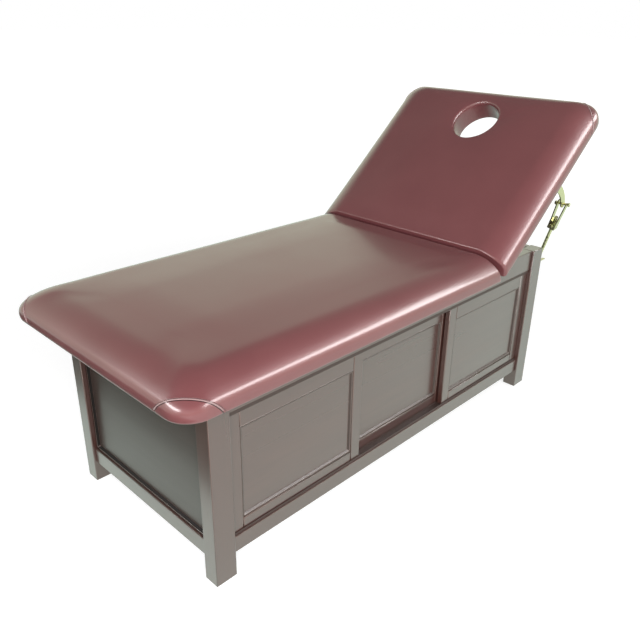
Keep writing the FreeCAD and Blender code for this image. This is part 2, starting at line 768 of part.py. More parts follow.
back_cuts = []
back_screws = leaf_screws("backrest_screws", True)
for side, sign in (("near", -1), ("far", 1)):
    y = sign * bracket_y
    name = f"prop_bracket_{side}"
    web = feature(name + "_web", bracket_web(y.number))
    low_x = bracket_root - s.flange_long / 2
    low_y = y - s.bracket_thick / 2 if sign < 0 else y + s.bracket_thick / 2 - s.flange_wide
    flange_size = (s.flange_long, s.flange_wide, s.flange_thick)
    flange = block(name + "_flange", (low_x, low_y, -s.flange_thick), flange_size)
    bore_start = (bracket_reach, y - s.bracket_thick, -s.bracket_drop)
    bore_radius = s.fork_pin_radius + s.pin_play
    holes = [cylinder(name + "_bore", bore_radius, 2 * s.bracket_thick, bore_start, roll=-quarter_turn)]
    screw_y = low_y + s.flange_wide / 2 + (s.bracket_thick / 2 if sign < 0 else -s.bracket_thick / 2)
    for step in flange_screws:
        screw_x = bracket_root + step
        under = -s.flange_thick
        hole = (screw_x, screw_y, under - s.overrun)
        clear = s.screw_shank_radius + s.screw_play
        holes.append(hexagon(name + "_hole", clear, s.flange_thick + 2 * s.overrun, hole))
        back_cuts.append(hexagon("back_pilot", clear, s.screw_length, (screw_x, screw_y, -s.overrun)))
        head_spot = (screw_x, screw_y, under - s.screw_head_thick)
        head = hexagon("bracket_screw_head", s.screw_head_radius, s.screw_head_thick, head_spot)
        shank_long = s.flange_thick + s.screw_length - 2 * s.overrun
        shank = hexagon("bracket_screw_shank", s.screw_shank_radius, shank_long, (screw_x, screw_y, under))
        back_screws.append(fuse("bracket_screw", [head, shank]))
    keep(name, on_backrest(cut(name, fuse(name + "_whole", [web, flange]), holes)))
for y in hinge_spots.values():
    for row in screw_rows:
        back_cuts.append(leaf_shank("back_pilot", y + row, True, s.screw_play))
keep("backrest_screws", on_backrest(group("backrest_screws", back_screws)))
back_board = cut("backrest_board", feature("backrest_blank", back_blank), back_cuts)
keep("backrest_board", on_backrest(back_board))

# Props: a forked block pinned to each bracket carries a notched rod that leans out past the
# head end and in over the post, and rests in a keeper there. Each is drawn down from its pin.
pin_x = hinge_x + bracket_reach * cos_back + s.bracket_drop * sin_back
pin_z = hinge_height + bracket_reach * sin_back - s.bracket_drop * cos_back
keeper_height = s.deck_height - s.keeper_drop
drop_share = cosine(s.prop_in_angle) * cosine(s.prop_out_angle)
keeper_along = (pin_z - keeper_height) / drop_share
keeper_x = pin_x + keeper_along * cosine(s.prop_in_angle) * sine(s.prop_out_angle)
keeper_y = bracket_y - keeper_along * sine(s.prop_in_angle)
block_top = -s.fork_arm_long
block_low = block_top - s.block_tall


def at_prop(thing, sign):
    """Hangs a piece of a prop from its pin, leaning out at the head and in to the middle."""
    lean = s.prop_in_angle if sign < 0 else -s.prop_in_angle
    return place(thing, pin_x, middle + sign * bracket_y, pin_z, pitch=-s.prop_out_angle, roll=lean)


def pin_roll(sign):
    """The turn that lays a cylinder along the pin, seen from the leaning prop."""
    return -quarter_turn - (s.prop_in_angle if sign < 0 else -s.prop_in_angle)


def prop_fork(name, sign):
    """A block with two arms that straddle the bracket, bored for the pin, rod and clamp."""
    half = s.block_wide / 2
    mouth = s.fork_mouth / 2
    block_size = (s.block_deep, s.block_wide, s.block_tall)
    pieces = [block(name + "_block", (-s.block_deep / 2, -half, block_low), block_size)]
    for way in (-1, 1):
        strap = [(way * mouth, zero), (way * (mouth + s.fork_arm_thick), zero)]
        foot = block_top - s.overrun
        strap += [(way * half, foot), (way * (half - s.fork_arm_thick), foot)]
        arm, _ = padded(name + "_arm", "YZ_Plane", strap, s.fork_arm_wide)
        bind(arm, "Placement.Base.x", -s.fork_arm_wide / 2)
        pieces.append(arm)
        eye = (0, mouth if way > 0 else -mouth - s.fork_arm_thick, 0)
        pieces.append(cylinder(name + "_eye", s.fork_arm_wide / 2, s.fork_arm_thick, eye, roll=-quarter_turn))
    reach = s.block_wide
    pin_radius = s.fork_pin_radius + s.pin_play
    turn = pin_roll(sign)
    lean = s.prop_in_angle if sign < 0 else -s.prop_in_angle
    start = (0, -reach * cosine(lean), reach * sine(lean))
    holes = [cylinder(name + "_pin_bore", pin_radius, 2 * reach, start, roll=turn)]
    bore = (0, 0, block_low - s.overrun)
    holes.append(cylinder(name + "_rod_bore", s.rod_radius + s.pin_play, s.block_tall + 2 * s.overrun, bore))
    clamp = (-s.block_deep / 2 - s.overrun, 0, block_top - s.block_tall / 2)
    clamp_radius = s.clamp_shank_radius + s.pin_play
    holes.append(cylinder(name + "_clamp_bore", clamp_radius, s.block_deep / 2, clamp, pitch=quarter_turn))
    return cut(name, fuse(name + "_whole", pieces), holes)


def prop_rod(name):
    """A round rod with a row of notches across its cabinet side, one of them at the keeper."""
    low = -keeper_along - s.rod_below_keeper
    top = block_top + s.rod_above_block
    rod = cylinder(name + "_bar", s.rod_radius, top - low, (0, 0, low))
    notches = []
    first = s.rod_radius * sine(s.prop_out_angle) - keeper_along - s.notch_wide / 2
    for step in range(NOTCHES):
        z = first + step * s.notch_pitch
        corner = (-2 * s.rod_radius, -s.rod_radius - s.overrun, z)
        size = (s.rod_radius + s.notch_deep, 2 * (s.rod_radius + s.overrun), s.notch_wide)
        notches.append(block(name + "_notch", corner, size))
    return cut(name, rod, notches)


def prop_pin(name, sign):
    """The bolt through both arms and the bracket, with its head and nut."""
    half = (s.fork_mouth / 2 + s.fork_arm_thick) / cosine(s.prop_in_angle) + s.fork_arm_thick
    shank = cylinder(name + "_shank", s.fork_pin_radius, 2 * half, (0, -half, 0), roll=-quarter_turn)
    pieces = [shank]
    for start in (-half - s.fork_pin_head_thick, half):
        spot = (0, start, 0)
        size = (s.fork_pin_head, s.fork_pin_head_thick)
        pieces.append(hexagon(name + "_head", *size, spot, roll=-quarter_turn))
    return place(fuse(name, pieces), pin_x, middle + sign * bracket_y, pin_z)


def clamp_screw(name):
    """A thumb screw through the block's side, with a round knob and its shank against the rod."""
    z = block_top - s.block_tall / 2
    tip = -s.rod_radius - s.soft_gap
    knob_end = -s.block_deep / 2 - s.clamp_stand - s.clamp_knob_long
    start = (knob_end, 0, z)
    shank = cylinder(name + "_shank", s.clamp_shank_radius, tip - knob_end, start, pitch=quarter_turn)
    knob = cylinder(name + "_knob", s.clamp_knob_radius, s.clamp_knob_long, start, pitch=quarter_turn)
    return fuse(name, [shank, knob])


for side, sign in (("near", -1), ("far", 1)):
    fork_name = f"prop_fork_{side}"
    keep(fork_name, at_prop(prop_fork(fork_name, sign), sign))
    keep(f"prop_rod_{side}", at_prop(prop_rod(f"prop_rod_{side}"), sign))
    keep(f"prop_pin_{side}", prop_pin(f"prop_pin_{side}", sign))
    keep(f"clamp_screw_{side}", at_prop(clamp_screw(f"clamp_screw_{side}"), sign))

# Keepers: an angle plate on each head post with a slot, open outwards, that the rod drops into
keeper_long = keeper_x - s.cab_length + s.rod_radius + s.keeper_beyond
slot_low = keeper_x - s.rod_radius / cosine(s.prop_out_angle) + s.keeper_bite
cabinet_screws = [at_hinge(screw) for screw in leaf_screws("cabinet_screws", False)]
for side, sign in (("near", -1), ("far", 1)):
    name = f"keeper_{side}"
    y = middle + sign * keeper_y
    low_y = y - s.keeper_wide / 2
    under = keeper_height - s.keeper_thick / 2
    shelf = block(name + "_shelf", (s.cab_length, low_y, under), (keeper_long, s.keeper_wide, s.keeper_thick))
    foot_z = under + s.keeper_thick - s.keeper_tall
    foot_size = (s.keeper_thick, s.keeper_wide, s.keeper_tall)
    foot = block(name + "_foot", (s.cab_length, low_y, foot_z), foot_size)
    slot_y = y - s.keeper_slot / 2
    slot_size = (keeper_long, s.keeper_slot, s.keeper_thick + 2 * s.overrun)
    tools = [block(name + "_slot", (slot_low, slot_y, under - s.overrun), slot_size)]
    pilots = []
    clear = s.screw_shank_radius + s.screw_play
    for step in (1, 2):
        z = under - step * s.keeper_screw_pitch + s.keeper_screw_pitch / 2
        hole = (s.cab_length - s.overrun, y, z)
        tools.append(hexagon(name + "_hole", clear, s.keeper_thick + 2 * s.overrun, hole, pitch=quarter_turn))
        pilot = (s.cab_length - s.screw_length, y, z)
        pilots.append(hexagon(name + "_pilot", clear, s.screw_length + s.overrun, pilot, pitch=quarter_turn))
        shank = (s.cab_length - s.screw_length + s.overrun, y, z)
        long = s.screw_length - s.overrun + s.keeper_thick
        pieces = [hexagon("keeper_screw_shank", s.screw_shank_radius, long, shank, pitch=quarter_turn)]
        head = (s.cab_length + s.keeper_thick, y, z)
        size = (s.screw_head_radius, s.screw_head_thick)
        pieces.append(hexagon("keeper_screw_head", *size, head, pitch=quarter_turn))
        cabinet_screws.append(place(fuse("keeper_screw", pieces), zero, zero, zero))
    keep(name, place(cut(name, fuse(name + "_whole", [shelf, foot]), tools), zero, zero, zero))
    drill = place(fuse(name + "_drill", pilots), zero, zero, zero)
    keep(f"post_head_{side}", cut(f"post_head_{side}_bored", posts["head", side], [drill]))
keep("cabinet_screws", group("cabinet_screws", cabinet_screws))

doc.recompute()
for item in doc.Objects:
    bad = [state for state in item.State if state in ("Invalid", "Error")]
    if bad:
        raise RuntimeError(f"{item.Label} is {bad}")

os.makedirs("parts", exist_ok=True)
for name, item in nodes.items():
    shape = item.Shape
    if shape.isNull() or not shape.isValid():
        raise RuntimeError(f"{name} has no valid shape")
    shape.exportStep(f"parts/{name}.step")
print(len(nodes), "sub-parts,", sum(len(item.Shape.Solids) for item in nodes.values()), "solids")
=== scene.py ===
# %% [markdown]
# # Spa bed with a cabinet base
#
# This lesson dresses a treatment bed: a dark lacquered cabinet on four square legs, with three
# framed sliding doors, a long seat cushion and a hinged backrest cushion with a face hole.
# The measured model comes in first as a fixed frame. Every piece made here sits on it, in
# metres, and rides on one of its moving bodies.

# %% Load the measured model
import json
import math

import bmesh
import bpy
import numpy as np
from mathutils import Matrix, Vector

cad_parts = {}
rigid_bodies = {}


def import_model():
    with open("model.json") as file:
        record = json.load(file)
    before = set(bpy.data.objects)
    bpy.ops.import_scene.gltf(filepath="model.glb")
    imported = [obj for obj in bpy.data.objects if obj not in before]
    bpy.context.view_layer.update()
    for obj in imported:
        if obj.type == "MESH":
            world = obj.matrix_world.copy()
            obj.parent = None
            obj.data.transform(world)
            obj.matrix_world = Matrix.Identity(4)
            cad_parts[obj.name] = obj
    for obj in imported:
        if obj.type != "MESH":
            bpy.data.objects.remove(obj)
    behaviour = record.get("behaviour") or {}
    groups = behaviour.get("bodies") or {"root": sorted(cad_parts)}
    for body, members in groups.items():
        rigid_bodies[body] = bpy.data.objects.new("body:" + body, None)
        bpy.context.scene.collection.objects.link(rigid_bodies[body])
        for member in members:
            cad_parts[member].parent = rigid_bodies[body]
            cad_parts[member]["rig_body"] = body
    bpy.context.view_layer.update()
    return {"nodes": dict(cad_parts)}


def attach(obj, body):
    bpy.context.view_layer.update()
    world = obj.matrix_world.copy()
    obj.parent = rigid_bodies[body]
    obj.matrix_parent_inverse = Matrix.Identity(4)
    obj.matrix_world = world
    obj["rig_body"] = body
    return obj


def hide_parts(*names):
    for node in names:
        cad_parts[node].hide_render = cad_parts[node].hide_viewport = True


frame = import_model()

nodes = frame["nodes"]

# %% [markdown]
# ## Camera
#
# The photograph looks down on the foot end and the long door side. A camera could be aimed by
# hand, but its place was worked out from the corners of the cabinet and the cushions, so it is
# written here as a place, two angles and a small roll.

# %% Camera
CAMERA_PLACE = Vector((-1.491404, -1.36743, 1.31169))
CAMERA_TURN, CAMERA_RISE, CAMERA_ROLL = -0.8003, 0.4286, -0.0162

back = Vector((
    math.sin(CAMERA_TURN) * math.cos(CAMERA_RISE),
    -math.cos(CAMERA_TURN) * math.cos(CAMERA_RISE),
    math.sin(CAMERA_RISE),
))
right = (-back).cross(Vector((0, 0, 1))).normalized()
down = (-back).cross(right)
rolled_right = math.cos(CAMERA_ROLL) * right + math.sin(CAMERA_ROLL) * down
rolled_down = -math.sin(CAMERA_ROLL) * right + math.cos(CAMERA_ROLL) * down

lens = bpy.data.cameras.new("photo_camera")
lens.lens = 38.18
lens.sensor_width = 36.0
lens.clip_end = 60.0
camera = bpy.data.objects.new("photo_camera", lens)
camera.matrix_world = Matrix.Translation(CAMERA_PLACE) @ Matrix(
    (rolled_right, -rolled_down, back)
).transposed().to_4x4()
bpy.context.scene.collection.objects.link(camera)
bpy.context.scene.camera = camera
bpy.context.scene.view_settings.view_transform = "Standard"
print("camera height", round(CAMERA_PLACE.z, 2), "m")

# %% [markdown]
# ## Helpers for finishes
#
# A finish is a small network of nodes. These helpers keep the cells short. The first adds a
# node and the second fills its inputs. The others add the few kinds that every finish needs and
# give back the output that is wanted: a noise, a blend of two colours, a change of range, a
# grey ramp, a sum and a bump.

# %% Node helpers
def add_node(tree, kind, place=(0, 0), **settings):
    """Adds a node and sets the settings that are named."""
    made = tree.nodes.new(kind)
    made.location = place
    for name, value in settings.items():
        setattr(made, name, value)
    return made


def feed(tree, node, **inputs):
    """Fills a node's inputs by name or number: a socket is linked, anything else is a value."""
    for name, value in inputs.items():
        socket = node.inputs[int(name[1:]) if name[1:].isdigit() else name.replace("_", " ")]
        if isinstance(value, bpy.types.NodeSocket):
            tree.links.new(value, socket)
        elif socket.type == "RGBA":
            socket.default_value = (*value, 1)
        else:
            socket.default_value = value
    return node


def object_spot(tree):
    """The position on the object, in metres."""
    return add_node(tree, "ShaderNodeTexCoord", (-1500, 0)).outputs["Object"]


def speckle(tree, spot, scale, detail, place, **more):
    """Noise at a position, from 0 to 1."""
    noise = add_node(tree, "ShaderNodeTexNoise", place)
    return feed(tree, noise, Vector=spot, Scale=scale, Detail=detail, **more).outputs["Fac"]


def blend(tree, share, low, high, place):
    """The colour between two others at a share from 0 to 1."""
    mixer = add_node(tree, "ShaderNodeMix", place, data_type="RGBA")
    return feed(tree, mixer, _0=share, _6=low, _7=high).outputs[2]


def carry(tree, value, source, target, place, curve="LINEAR"):
    """Carries a value from its source range into a target range."""
    (a, b), (c, d) = source, target
    node = add_node(tree, "ShaderNodeMapRange", place, interpolation_type=curve)
    return feed(tree, node, Value=value, From_Min=a, From_Max=b, To_Min=c, To_Max=d).outputs[0]


def grey_ramp(tree, value, rows, place):
    """A ramp whose stops are rows of position and grey."""
    node = add_node(tree, "ShaderNodeValToRGB", place)
    while len(node.color_ramp.elements) < len(rows):
        node.color_ramp.elements.new(0.5)
    for stop, (where, grey) in zip(node.color_ramp.elements, rows):
        stop.position = where
        stop.color = (grey, grey, grey, 1)
    return feed(tree, node, Fac=value).outputs["Color"]


def reckon(tree, operation, one, other, place, **more):
    """The result of one sum on two values, or on three."""
    node = add_node(tree, "ShaderNodeMath", place, operation=operation)
    return feed(tree, node, _0=one, _1=other, **more).outputs[0]


def bumped(tree, height, strength, distance, place, **more):
    """The normal that a height gives, which may rest on another normal."""
    node = add_node(tree, "ShaderNodeBump", place)
    return feed(tree, node, Height=height, Strength=strength, Distance=distance, **more).outputs[0]


def new_finish(name, **shader_values):
    """An empty material: its tree and its shader, with the even values set on the shader."""
    finish = bpy.data.materials.new(name)
    finish.use_nodes = True
    tree = finish.node_tree
    shader = tree.nodes["Principled BSDF"]
    feed(tree, shader, **shader_values)
    return finish, tree, shader


UNIT = (0.0, 1.0)
MID_NOISE = (0.3, 0.7)
print("node helpers ready")

# %% [markdown]
# ## Lacquered wood
#
# The frame is dark stained hardwood under a satin lacquer. Its grain is long streaks, a little
# redder and lighter than the ground, with fine open pores. Streaks could be a wave texture,
# but noise that is stretched along the grain looks more like sawn wood. The group below does
# that once, and each material turns it along its own boards.

# %% Wood grain group
def wood_grain_group():
    """Stretched noise for streaks, finer noise for pores and broad noise for stain patches."""
    group = bpy.data.node_groups.new("wood_grain", "ShaderNodeTree")
    inward = {"Vector": "Vector", "Ground": "Color", "Streak": "Color"}
    inward |= {"Smooth": "Float", "Rough": "Float"}
    outward = {"Color": "Color", "Roughness": "Float", "Height": "Float"}
    for way, sockets in (("INPUT", inward), ("OUTPUT", outward)):
        for name, kind in sockets.items():
            group.interface.new_socket(name, in_out=way, socket_type="NodeSocket" + kind)
    into = add_node(group, "NodeGroupInput", (-900, 0)).outputs
    streaks = speckle(group, into["Vector"], 1.0, 7.0, (-600, 200), Roughness=0.62, Distortion=0.6)
    pores = speckle(group, into["Vector"], 9.0, 4.0, (-600, -100), Roughness=0.7)
    patches = speckle(group, into["Vector"], 0.16, 3.0, (-600, -400))
    streak_share = grey_ramp(group, streaks, [(0.38, 0.0), (0.66, 1.0)], (-350, 200))
    pore_share = grey_ramp(group, pores, [(0.34, 0.0), (0.5, 1.0)], (-350, -100))
    both = reckon(group, "MULTIPLY", streak_share, patches, (-60, 200))
    colour = blend(group, both, into["Ground"], into["Streak"], (180, 200))
    rough = carry(group, patches, MID_NOISE, (into["Smooth"], into["Rough"]), (180, -100))
    height = reckon(group, "MULTIPLY_ADD", pore_share, 0.5, (180, -400), _2=streaks)
    out = add_node(group, "NodeGroupOutput", (700, 0))
    feed(group, out, Color=colour, Roughness=rough, Height=height)
    return group


wood_grain = wood_grain_group()
sockets = wood_grain.interface.items_tree
print("wood grain gives", [way.name for way in sockets if way.in_out == "OUTPUT"])

# %% [markdown]
# The same boards run three ways: legs stand, long rails run along the bed, end rails across.
# Each gets its own material, which only stretches the pattern along another axis. The arrises
# are a material of their own, a touch lighter: a painted highlight along the eased edge. The end
# panels and the mouldings are stained darker as painted shade, where they lie in the frame's
# shade, and get thinner lacquer than the frame, so that they would not shine too much.

# %% Wood finishes
ALONG, ACROSS = 2.4, 42.0
GRAIN_WAYS = {
    "long": (ALONG, ACROSS, ACROSS),
    "cross": (ACROSS, ALONG, ACROSS),
    "stand": (ACROSS, ACROSS, ALONG),
}


def wood_finish(name, way, stain, roughness, coat, shine, relief=0.08):
    """Lacquered wood with its grain along one axis of the bed."""
    gloss = {"Coat_Weight": coat, "Coat_Roughness": 0.2, "Coat_IOR": 1.5}
    finish, tree, shader = new_finish(name, Specular_IOR_Level=shine, **gloss)
    turn = add_node(tree, "ShaderNodeMapping", (-900, 0))
    feed(tree, turn, Vector=object_spot(tree), Scale=GRAIN_WAYS[way])
    grain = add_node(tree, "ShaderNodeGroup", (-650, 0), node_tree=wood_grain)
    feed(tree, grain, Vector=turn.outputs[0], Ground=stain[0], Streak=stain[1])
    feed(tree, grain, Smooth=roughness[0], Rough=roughness[1])
    pattern = grain.outputs
    bump = bumped(tree, pattern["Height"], relief, 0.0006, (-350, -200))
    feed(tree, shader, Base_Color=pattern["Color"], Roughness=pattern["Roughness"], Normal=bump)
    return finish


ESPRESSO = (0.072, 0.029, 0.024), (0.092, 0.037, 0.029)
# The arris stain is lighter than the ground: a painted highlight on the eased edges.
ARRIS_HIGHLIGHT_STAIN = (0.12, 0.066, 0.056), (0.125, 0.07, 0.059)
# The panel stain and the near black are darker than the frame's: painted shade on the end panels
# and mouldings.
PAINTED_SHADE_STAIN = (0.05, 0.032, 0.027), (0.062, 0.04, 0.034)
PAINTED_SHADE_BLACK = (0.014, 0.011, 0.01), (0.02, 0.016, 0.014)
BOARD_STAIN = (0.06, 0.033, 0.027), (0.10, 0.05, 0.039)
wood, arris, painted_shade_panel, moulding = {}, {}, {}, {}
for way in GRAIN_WAYS:
    wood[way] = wood_finish("espresso_wood_" + way, way, ESPRESSO, (0.26, 0.34), 1.0, 0.9)
    arris[way] = wood_finish("arris_painted_highlight_" + way, way, ARRIS_HIGHLIGHT_STAIN, (0.3, 0.32), 0.9, 0.7, 0.0)
    painted_shade_panel[way] = wood_finish("painted_shade_panel_wood_" + way, way, PAINTED_SHADE_STAIN, (0.3, 0.4), 0.4, 0.5)
    moulding[way] = wood_finish(
        "painted_shade_moulding_wood_" + way, way, PAINTED_SHADE_BLACK, (0.5, 0.6), 0.0, 0.1, 0.02
    )
# The door beads use the darker panel stain: painted shade.
door_bead = wood_finish("painted_shade_satin_moulding_wood", "long", PAINTED_SHADE_STAIN, (0.4, 0.5), 0.2, 0.4, 0.02)
board = wood_finish("stained_board", "long", BOARD_STAIN, (0.42, 0.55), 0.2, 0.7)
print("wood finishes", 4 * len(GRAIN_WAYS) + 2)

# %% [markdown]
# ## Leatherette
#
# The cushions are covered in wine red coated cloth with a fine pebbled grain and a satin
# shine. The pebbles are a cell pattern under a little noise. The corner seams need to follow
# the cushion, so they read a value stored at its vertices: the distance from the seam line.
# One ramp turns that distance into a groove with a raised lip, another paints shade into the groove
# and along the stitch row.

# %% Leatherette finish
SEAM_SPAN = (-12.0, 12.0)
SEAM_FORM = [(0.0, 0.5), (0.375, 0.5), (0.44, 0.42), (0.485, 0.0), (0.525, 0.8)]
SEAM_FORM += [(0.58, 1.0), (0.65, 0.8), (0.692, 0.3), (0.73, 0.6), (1.0, 0.5)]
SEAM_SHADE = [(0.0, 0.0), (0.43, 0.0), (0.46, 1.0), (0.505, 1.0)]
SEAM_SHADE += [(0.53, 0.0), (0.67, 0.0), (0.69, 0.5), (0.71, 0.0)]


def leatherette_finish():
    """Wine red leatherette with pebble grain, broad tone changes and seams from an attribute, with
    painted shade in their grooves.
    """
    gloss = {"Specular_IOR_Level": 0.5, "Coat_Weight": 0.6, "Coat_Roughness": 0.16, "Coat_IOR": 1.5}
    finish, tree, shader = new_finish("wine_leatherette", **gloss)
    spot = object_spot(tree)
    tone = speckle(tree, spot, 5.0, 5.0, (-1200, 300), Roughness=0.55)
    colour = blend(tree, tone, (0.178, 0.053, 0.058), (0.222, 0.07, 0.073), (-600, 300))
    pebbles = add_node(tree, "ShaderNodeTexVoronoi", (-1200, 0), feature="F1")
    feed(tree, pebbles, Vector=spot, Scale=520.0)
    haze = speckle(tree, spot, 900.0, 3.0, (-1200, -300))
    grain = reckon(tree, "ADD", pebbles.outputs["Distance"], haze, (-900, -100))
    pebble_bump = bumped(tree, grain, 0.16, 0.0004, (-600, -100))
    seam = add_node(tree, "ShaderNodeAttribute", (-1500, -600), attribute_name="seam")
    across = carry(tree, seam.outputs["Fac"], SEAM_SPAN, UNIT, (-1200, -600))
    form = grey_ramp(tree, across, SEAM_FORM, (-900, -600))
    shade = grey_ramp(tree, across, SEAM_SHADE, (-900, -900))
    # Painted shade: the groove and the stitch row are darkened towards a dark wine colour.
    colour_with_painted_seam_shade = blend(tree, shade, colour, (0.05, 0.017, 0.02), (-300, 300))
    seam_bump = bumped(tree, form, 1.0, 0.0035, (-300, -300), Normal=pebble_bump)
    wear = carry(tree, tone, MID_NOISE, (0.33, 0.40), (-600, 100))
    feed(tree, shader, Base_Color=colour_with_painted_seam_shade, Roughness=wear, Normal=seam_bump)
    return finish


def dress(tree, shader, tone, grit, colours, roughness, relief):
    """Colour from one pattern, and roughness and relief from another."""
    tint = blend(tree, tone, *colours, (-400, 150))
    dull = carry(tree, grit, UNIT, roughness, (-400, -50))
    bump = bumped(tree, grit, *relief, (-300, -300))
    feed(tree, shader, Base_Color=tint, Roughness=dull, Normal=bump)


def thread_finish(name, colours, roughness):
    """Twisted or stretched fibre: a fine slanting wave makes its plies."""
    finish, tree, shader = new_finish(name, Sheen_Weight=0.3)
    wave = add_node(tree, "ShaderNodeTexWave", (-700, 0), bands_direction="DIAGONAL")
    plies = feed(tree, wave, Vector=object_spot(tree), Scale=900.0, Distortion=1.5).outputs["Fac"]
    dress(tree, shader, plies, plies, colours, roughness, (0.3, 0.0002))
    return finish


leatherette = leatherette_finish()
thread = thread_finish("wine_thread", ((0.24, 0.11, 0.11), (0.34, 0.18, 0.17)), (0.45, 0.6))
# The welt is lighter than the cover: a painted highlight along the seam's raised lip.
welt = thread_finish("wine_welt_painted_highlight", ((0.34, 0.2, 0.2), (0.42, 0.27, 0.265)), (0.3, 0.4))
print("leatherette ready, seams read the attribute seam")

# %% [markdown]
# ## Plated steel and plastic
#
# The hinges, brackets, forks and rods are yellow zinc plated: a warm grey metal whose tint
# drifts between straw and green. The tracks and the leg glides are dull dark plastic.

# %% Metal and plastic finishes
def plated_finish():
    """Yellow zinc: a metal whose tint and shine change in soft patches."""
    finish, tree, shader = new_finish("yellow_zinc", Metallic=1.0)
    spot = object_spot(tree)
    drift = speckle(tree, spot, 38.0, 4.0, (-900, 100), Distortion=0.4)
    scuffs = speckle(tree, spot, 420.0, 3.0, (-900, -200))
    straw_and_green = (0.66, 0.6, 0.36), (0.5, 0.51, 0.3)
    dress(tree, shader, drift, scuffs, straw_and_green, (0.26, 0.44), (0.1, 0.0003))
    return finish


def plastic_finish(name, colour, scale):
    """Dull moulded plastic with a fine spark eroded texture."""
    finish, tree, shader = new_finish(name)
    cells = speckle(tree, object_spot(tree), scale, 4.0, (-700, 0))
    lighter = tuple(1.5 * share for share in colour)
    dress(tree, shader, cells, cells, (colour, lighter), (0.45, 0.62), (0.25, 0.0003))
    return finish


zinc = plated_finish()
track_plastic = plastic_finish("track_plastic_brown", (0.045, 0.026, 0.022), 700.0)
glide_plastic = plastic_finish("glide_plastic_black", (0.022, 0.022, 0.022), 500.0)
print("metal and plastic ready")

# %% [markdown]
# ## Cushion form
#
# A cushion here is foam on a board, wrapped in a cover that is pulled round the edges and
# stapled below. Its side tucks in at the bottom and stands, then turns over on a tight arc and
# goes on to the top on a wide one, like a pillow. It could be a rounded box, but the hinge end
# leans back so that the two cushions close on each other when the backrest is up. So each
# level is an outline of its own, with the same number of points, and the levels are joined.
# All numbers in these cells are millimetres about the hinge line, and become metres last.

# %% Cushion outlines
THICK, SHOULDER, CROWN, CROWN_REACH = 84.0, 80.0, 6.0, 190.0
TIGHT, WIDE, HALF_TURN = 30.0, 120.0, math.pi / 4
EDGE_REACH = TIGHT * (1 - math.cos(HALF_TURN)) + WIDE * math.cos(HALF_TURN)
HINGE_SLOPE, HINGE_ROUND = 0.29, 14.0
TUCK, LIP_RISE = 6.0, 14.0
HALF_WIDE, HINGE_GAP, HINGE_CORNER, CORNER_SHARE = 401.0, 8.0, 12.0, 0.3
POCKET_IN, POCKET_TALL = 13.7, 18.3


def rounded_outline(low, high, half, near, far, counts):
    """Points round a rectangle with quarter circles at its corners, always in the same order.

    It starts in the middle of the corner at low x and low y and runs anticlockwise: half an
    arc, a straight run, a whole arc in two halves, and so on, with fixed numbers of points.
    """
    bend, long, wide = counts

    def arc(centre, radius, start):
        angle = np.radians(start + 45.0 * np.arange(bend) / bend)
        return np.array(centre) + radius * np.column_stack([np.cos(angle), np.sin(angle)])

    def run(start, end, number):
        share = (np.arange(number) / number)[:, None]
        return (1 - share) * np.array(start) + share * np.array(end)

    a, b = (low + near, near - half), (high - far, far - half)
    c, d = (high - far, half - far), (low + near, half - near)
    pieces = [arc(a, near, 225), run((a[0], -half), (b[0], -half), long)]
    pieces += [arc(b, far, 270), arc(b, far, 315), run((high, b[1]), (high, c[1]), wide)]
    pieces += [arc(c, far, 0), arc(c, far, 45), run((c[0], half), (d[0], half), long)]
    pieces += [arc(d, near, 90), arc(d, near, 135), run((low, d[1]), (low, a[1]), wide)]
    pieces.append(arc(a, near, 180))
    return np.concatenate(pieces)


def edge_spot(turn):
    """Inset and height where the edge faces up by an angle: a tight arc, then a wide one."""
    tight, wide = min(turn, HALF_TURN), max(turn, HALF_TURN)
    inset = TIGHT * (1 - math.cos(tight)) + WIDE * (math.cos(HALF_TURN) - math.cos(wide))
    height = SHOULDER - WIDE * (1 - math.sin(wide))
    height -= TIGHT * (math.sin(HALF_TURN) - math.sin(tight))
    return inset, height


def hinge_inset(height):
    """How far the hinge end leans back at a height: a slope, and a quarter circle at its top."""
    up = min(max((height - SHOULDER + HINGE_ROUND) / HINGE_ROUND, 0.0), 1.0)
    return HINGE_SLOPE * height + HINGE_ROUND * (1 - math.sqrt(1 - up * up))


def level_outline(length, corner, height, inset, counts, slack, end_share):
    """The outline at a height: its sides go in by inset, its far end by a share of it."""
    low = HINGE_GAP + hinge_inset(height) + slack
    far = max(corner - CORNER_SHARE * inset - slack, HINGE_CORNER)
    high = length - end_share * inset - slack
    flat = rounded_outline(low, high, HALF_WIDE - inset - slack, HINGE_CORNER, far, counts)
    return np.column_stack([flat, np.full(len(flat), height)])


def crown_height(x, y, length, end_share):
    """Height of the top: SHOULDER + CROWN s(end) s(side) s(hinge), where s(t) = 3t^2 - 2t^3."""
    end = (length - end_share * EDGE_REACH - x) / CROWN_REACH
    side = (HALF_WIDE - EDGE_REACH - np.abs(y)) / CROWN_REACH
    hinge = (x - HINGE_GAP - hinge_inset(SHOULDER)) / (0.5 * CROWN_REACH)
    rise = CROWN
    for share in (end, side, hinge):
        part = np.clip(share, 0, 1)
        rise = rise * part**2 * (3 - 2 * part)
    return SHOULDER + rise


print("cushion half width", HALF_WIDE, "thickness", THICK)

# %% [markdown]
# The skin of a side is a stack of these outlines: up the wall of the pocket that holds the
# board, over the lip, up the side and round the edge. The stack starts three millimetres
# inside the finished form, because the cloth simulation will swell it.

# %% Side levels and grid faces
POCKET_LEVELS = (POCKET_TALL, POCKET_TALL / 2, 0.0)
EDGE_TURNS = np.radians([0, 9, 18, 27, 36, 45, 50, 55, 60, 65, 70, 75, 80, 85, 90])


